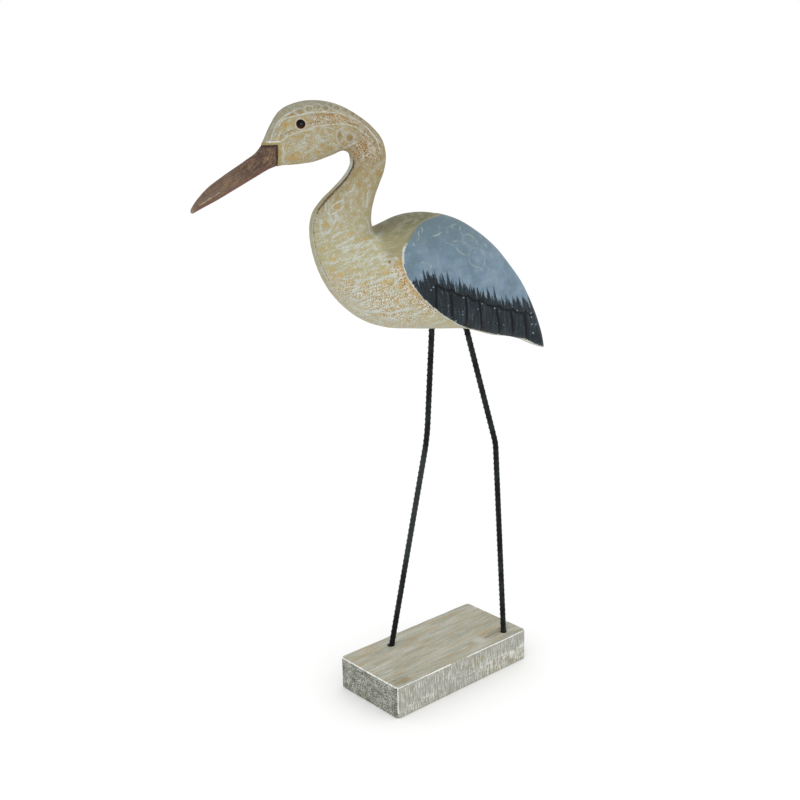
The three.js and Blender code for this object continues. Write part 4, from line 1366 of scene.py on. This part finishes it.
def coarse_block(spacing=8):
    """The six faces of a plain block, as a net of joined triangles."""
    corners, triangles = {}, []

    def corner(place):
        key = tuple(np.round(place, 4))
        return corners.setdefault(key, len(corners))

    for axis in range(3):
        first, second = (axis + 1) % 3, (axis + 2) % 3
        steps = [max(2, round(2 * BLOCK_HALF[k] / spacing)) for k in (first, second)]
        for sign in (-1, 1):
            for i, j in np.ndindex(*steps):
                quad = []
                for di, dj in ((0, 0), (1, 0), (1, 1), (0, 1)):
                    place = np.zeros(3)
                    place[axis] = sign * BLOCK_HALF[axis]
                    place[first] = BLOCK_HALF[first] * (2 * (i + di) / steps[0] - 1)
                    place[second] = BLOCK_HALF[second] * (2 * (j + dj) / steps[1] - 1)
                    quad.append(corner(place))
                if sign < 0:
                    quad.reverse()
                triangles.append((quad[0], quad[1], quad[2]))
                triangles.append((quad[0], quad[2], quad[3]))
    return np.array(list(corners)), np.array(triangles)


def make_block():
    where, triangles = refine(*coarse_block(), block_shape, block_edge)
    points = block_shape(where)
    gap = BLOCK_HALF - np.abs(where)
    near = np.sort(gap, axis=1)
    facing = outward(points, triangles)
    worn_off = 0.8 * bump(where[:, 0] - EDGE_GAP, 10) * (where[:, 1] < 0)
    marks = {
        "on_top": smooth(np.abs(facing[:, 2]), 0.6, 0.8),
        "on_end": smooth(np.abs(facing[:, 0]), 0.6, 0.8),
        "edge": bump(near[:, 1] - 0.2, 0.75) * smooth(where[:, 2], -12, -8) * (1 - worn_off),
    }
    offset = hole_offset(points)
    # Where the rod holes are, which are painted dark as shade
    marks["hole"] = 1 - smooth(offset, -0.35, 0.1)
    dents = 0.2 * smooth(grain(points, (9, 9, 9), 31), 0.55, 0.95) * bump(near[:, 1], 1.6)
    ripple = 0.05 * grain(points, (0.9, 30, 14), 32) * smooth(np.abs(facing[:, 1]), 0.5, 0.9)
    points = points - facing * (dents + ripple)[:, None]
    for middle, radius, down in FOOT_HOLES:
        off = np.hypot(points[:, 0] - middle[0], points[:, 1] - middle[1]) - radius
        sink = 16 * (1 - smooth(off, -0.3, 0.0)) * (points[:, 2] > BLOCK_HEIGHT - 2)
        points = points + sink[:, None] * down
    block = make_piece("wooden_block", points * MM, triangles, [block_wood()], None, marks)
    settle(block, "base")


# The stage

CAMERA_PLACE = Vector((-0.6891, -0.7518, 0.56365))
CAMERA_TURN = math.radians(40.944)  # of its view from +Y towards +X
CAMERA_DIP = math.radians(16.283)
CAMERA_ROLL = math.radians(1.204)
LENS = 54.59
SENSOR = 36.0
WINDOW_POWER = 0.3
WINDOW_WIDTH = math.radians(60)
FRONT_PLACE = (-0.68, -0.92, 0.68)
FRONT_WIDTH = 0.6
FRONT_POWER = 1.4


def make_camera():
    level = Vector((math.sin(CAMERA_TURN), math.cos(CAMERA_TURN), 0))
    flat_right = Vector((math.cos(CAMERA_TURN), -math.sin(CAMERA_TURN), 0))
    ahead = level * math.cos(CAMERA_DIP) - Vector((0, 0, math.sin(CAMERA_DIP)))
    flat_up = flat_right.cross(ahead)
    right = flat_right * math.cos(CAMERA_ROLL) - flat_up * math.sin(CAMERA_ROLL)
    up = flat_right * math.sin(CAMERA_ROLL) + flat_up * math.cos(CAMERA_ROLL)
    camera = bpy.data.objects.new("camera", bpy.data.cameras.new("camera"))
    camera.data.lens = LENS
    camera.data.sensor_width = SENSOR
    camera.data.clip_end = 100
    turned = Matrix((right, up, -ahead)).transposed().to_4x4()
    camera.matrix_world = Matrix.Translation(CAMERA_PLACE) @ turned
    bpy.context.scene.collection.objects.link(camera)
    bpy.context.scene.camera = camera


def make_lamp(name, kind, place, aim):
    light = bpy.data.lights.new(name, kind)
    lamp = bpy.data.objects.new(name, light)
    lamp.location = place
    lamp.rotation_euler = (Vector(aim) - Vector(place)).to_track_quat("-Z", "Y").to_euler()
    bpy.context.scene.collection.objects.link(lamp)
    return light


def make_stage():
    half = 80.0
    mesh = bpy.data.meshes.new("floor")
    corners = [(-half, -half, 0), (half, -half, 0), (half, half, 0), (-half, half, 0)]
    mesh.from_pydata(corners, [], [(0, 1, 2, 3)])
    floor = bpy.data.objects.new("floor", mesh)
    bpy.context.scene.collection.objects.link(floor)
    paper = Finish("pale_floor")
    paper.set(Base_Color=(0.985, 0.985, 0.985, 1), Roughness=0.95, Specular_IOR_Level=0.0)
    mesh.materials.append(paper.material)
    world = bpy.data.worlds.new("white_room")
    world.use_nodes = True
    world.node_tree.nodes["Background"].inputs["Color"].default_value = (1, 1, 1, 1)
    world.node_tree.nodes["Background"].inputs["Strength"].default_value = 1.0
    bpy.context.scene.world = world
    bpy.context.scene.view_settings.view_transform = "Standard"
    window = make_lamp("window_light", "SUN", (0.66, -1.74, 0.9), (0, 0, 0))
    window.energy = WINDOW_POWER
    window.angle = WINDOW_WIDTH
    front = make_lamp("front_light", "AREA", FRONT_PLACE, (0, 0, 0.35))
    front.shape = "DISK"
    front.size = FRONT_WIDTH
    front.energy = FRONT_POWER


make_camera()
make_stage()
make_bird()
make_eyes()
make_legs()
make_block()
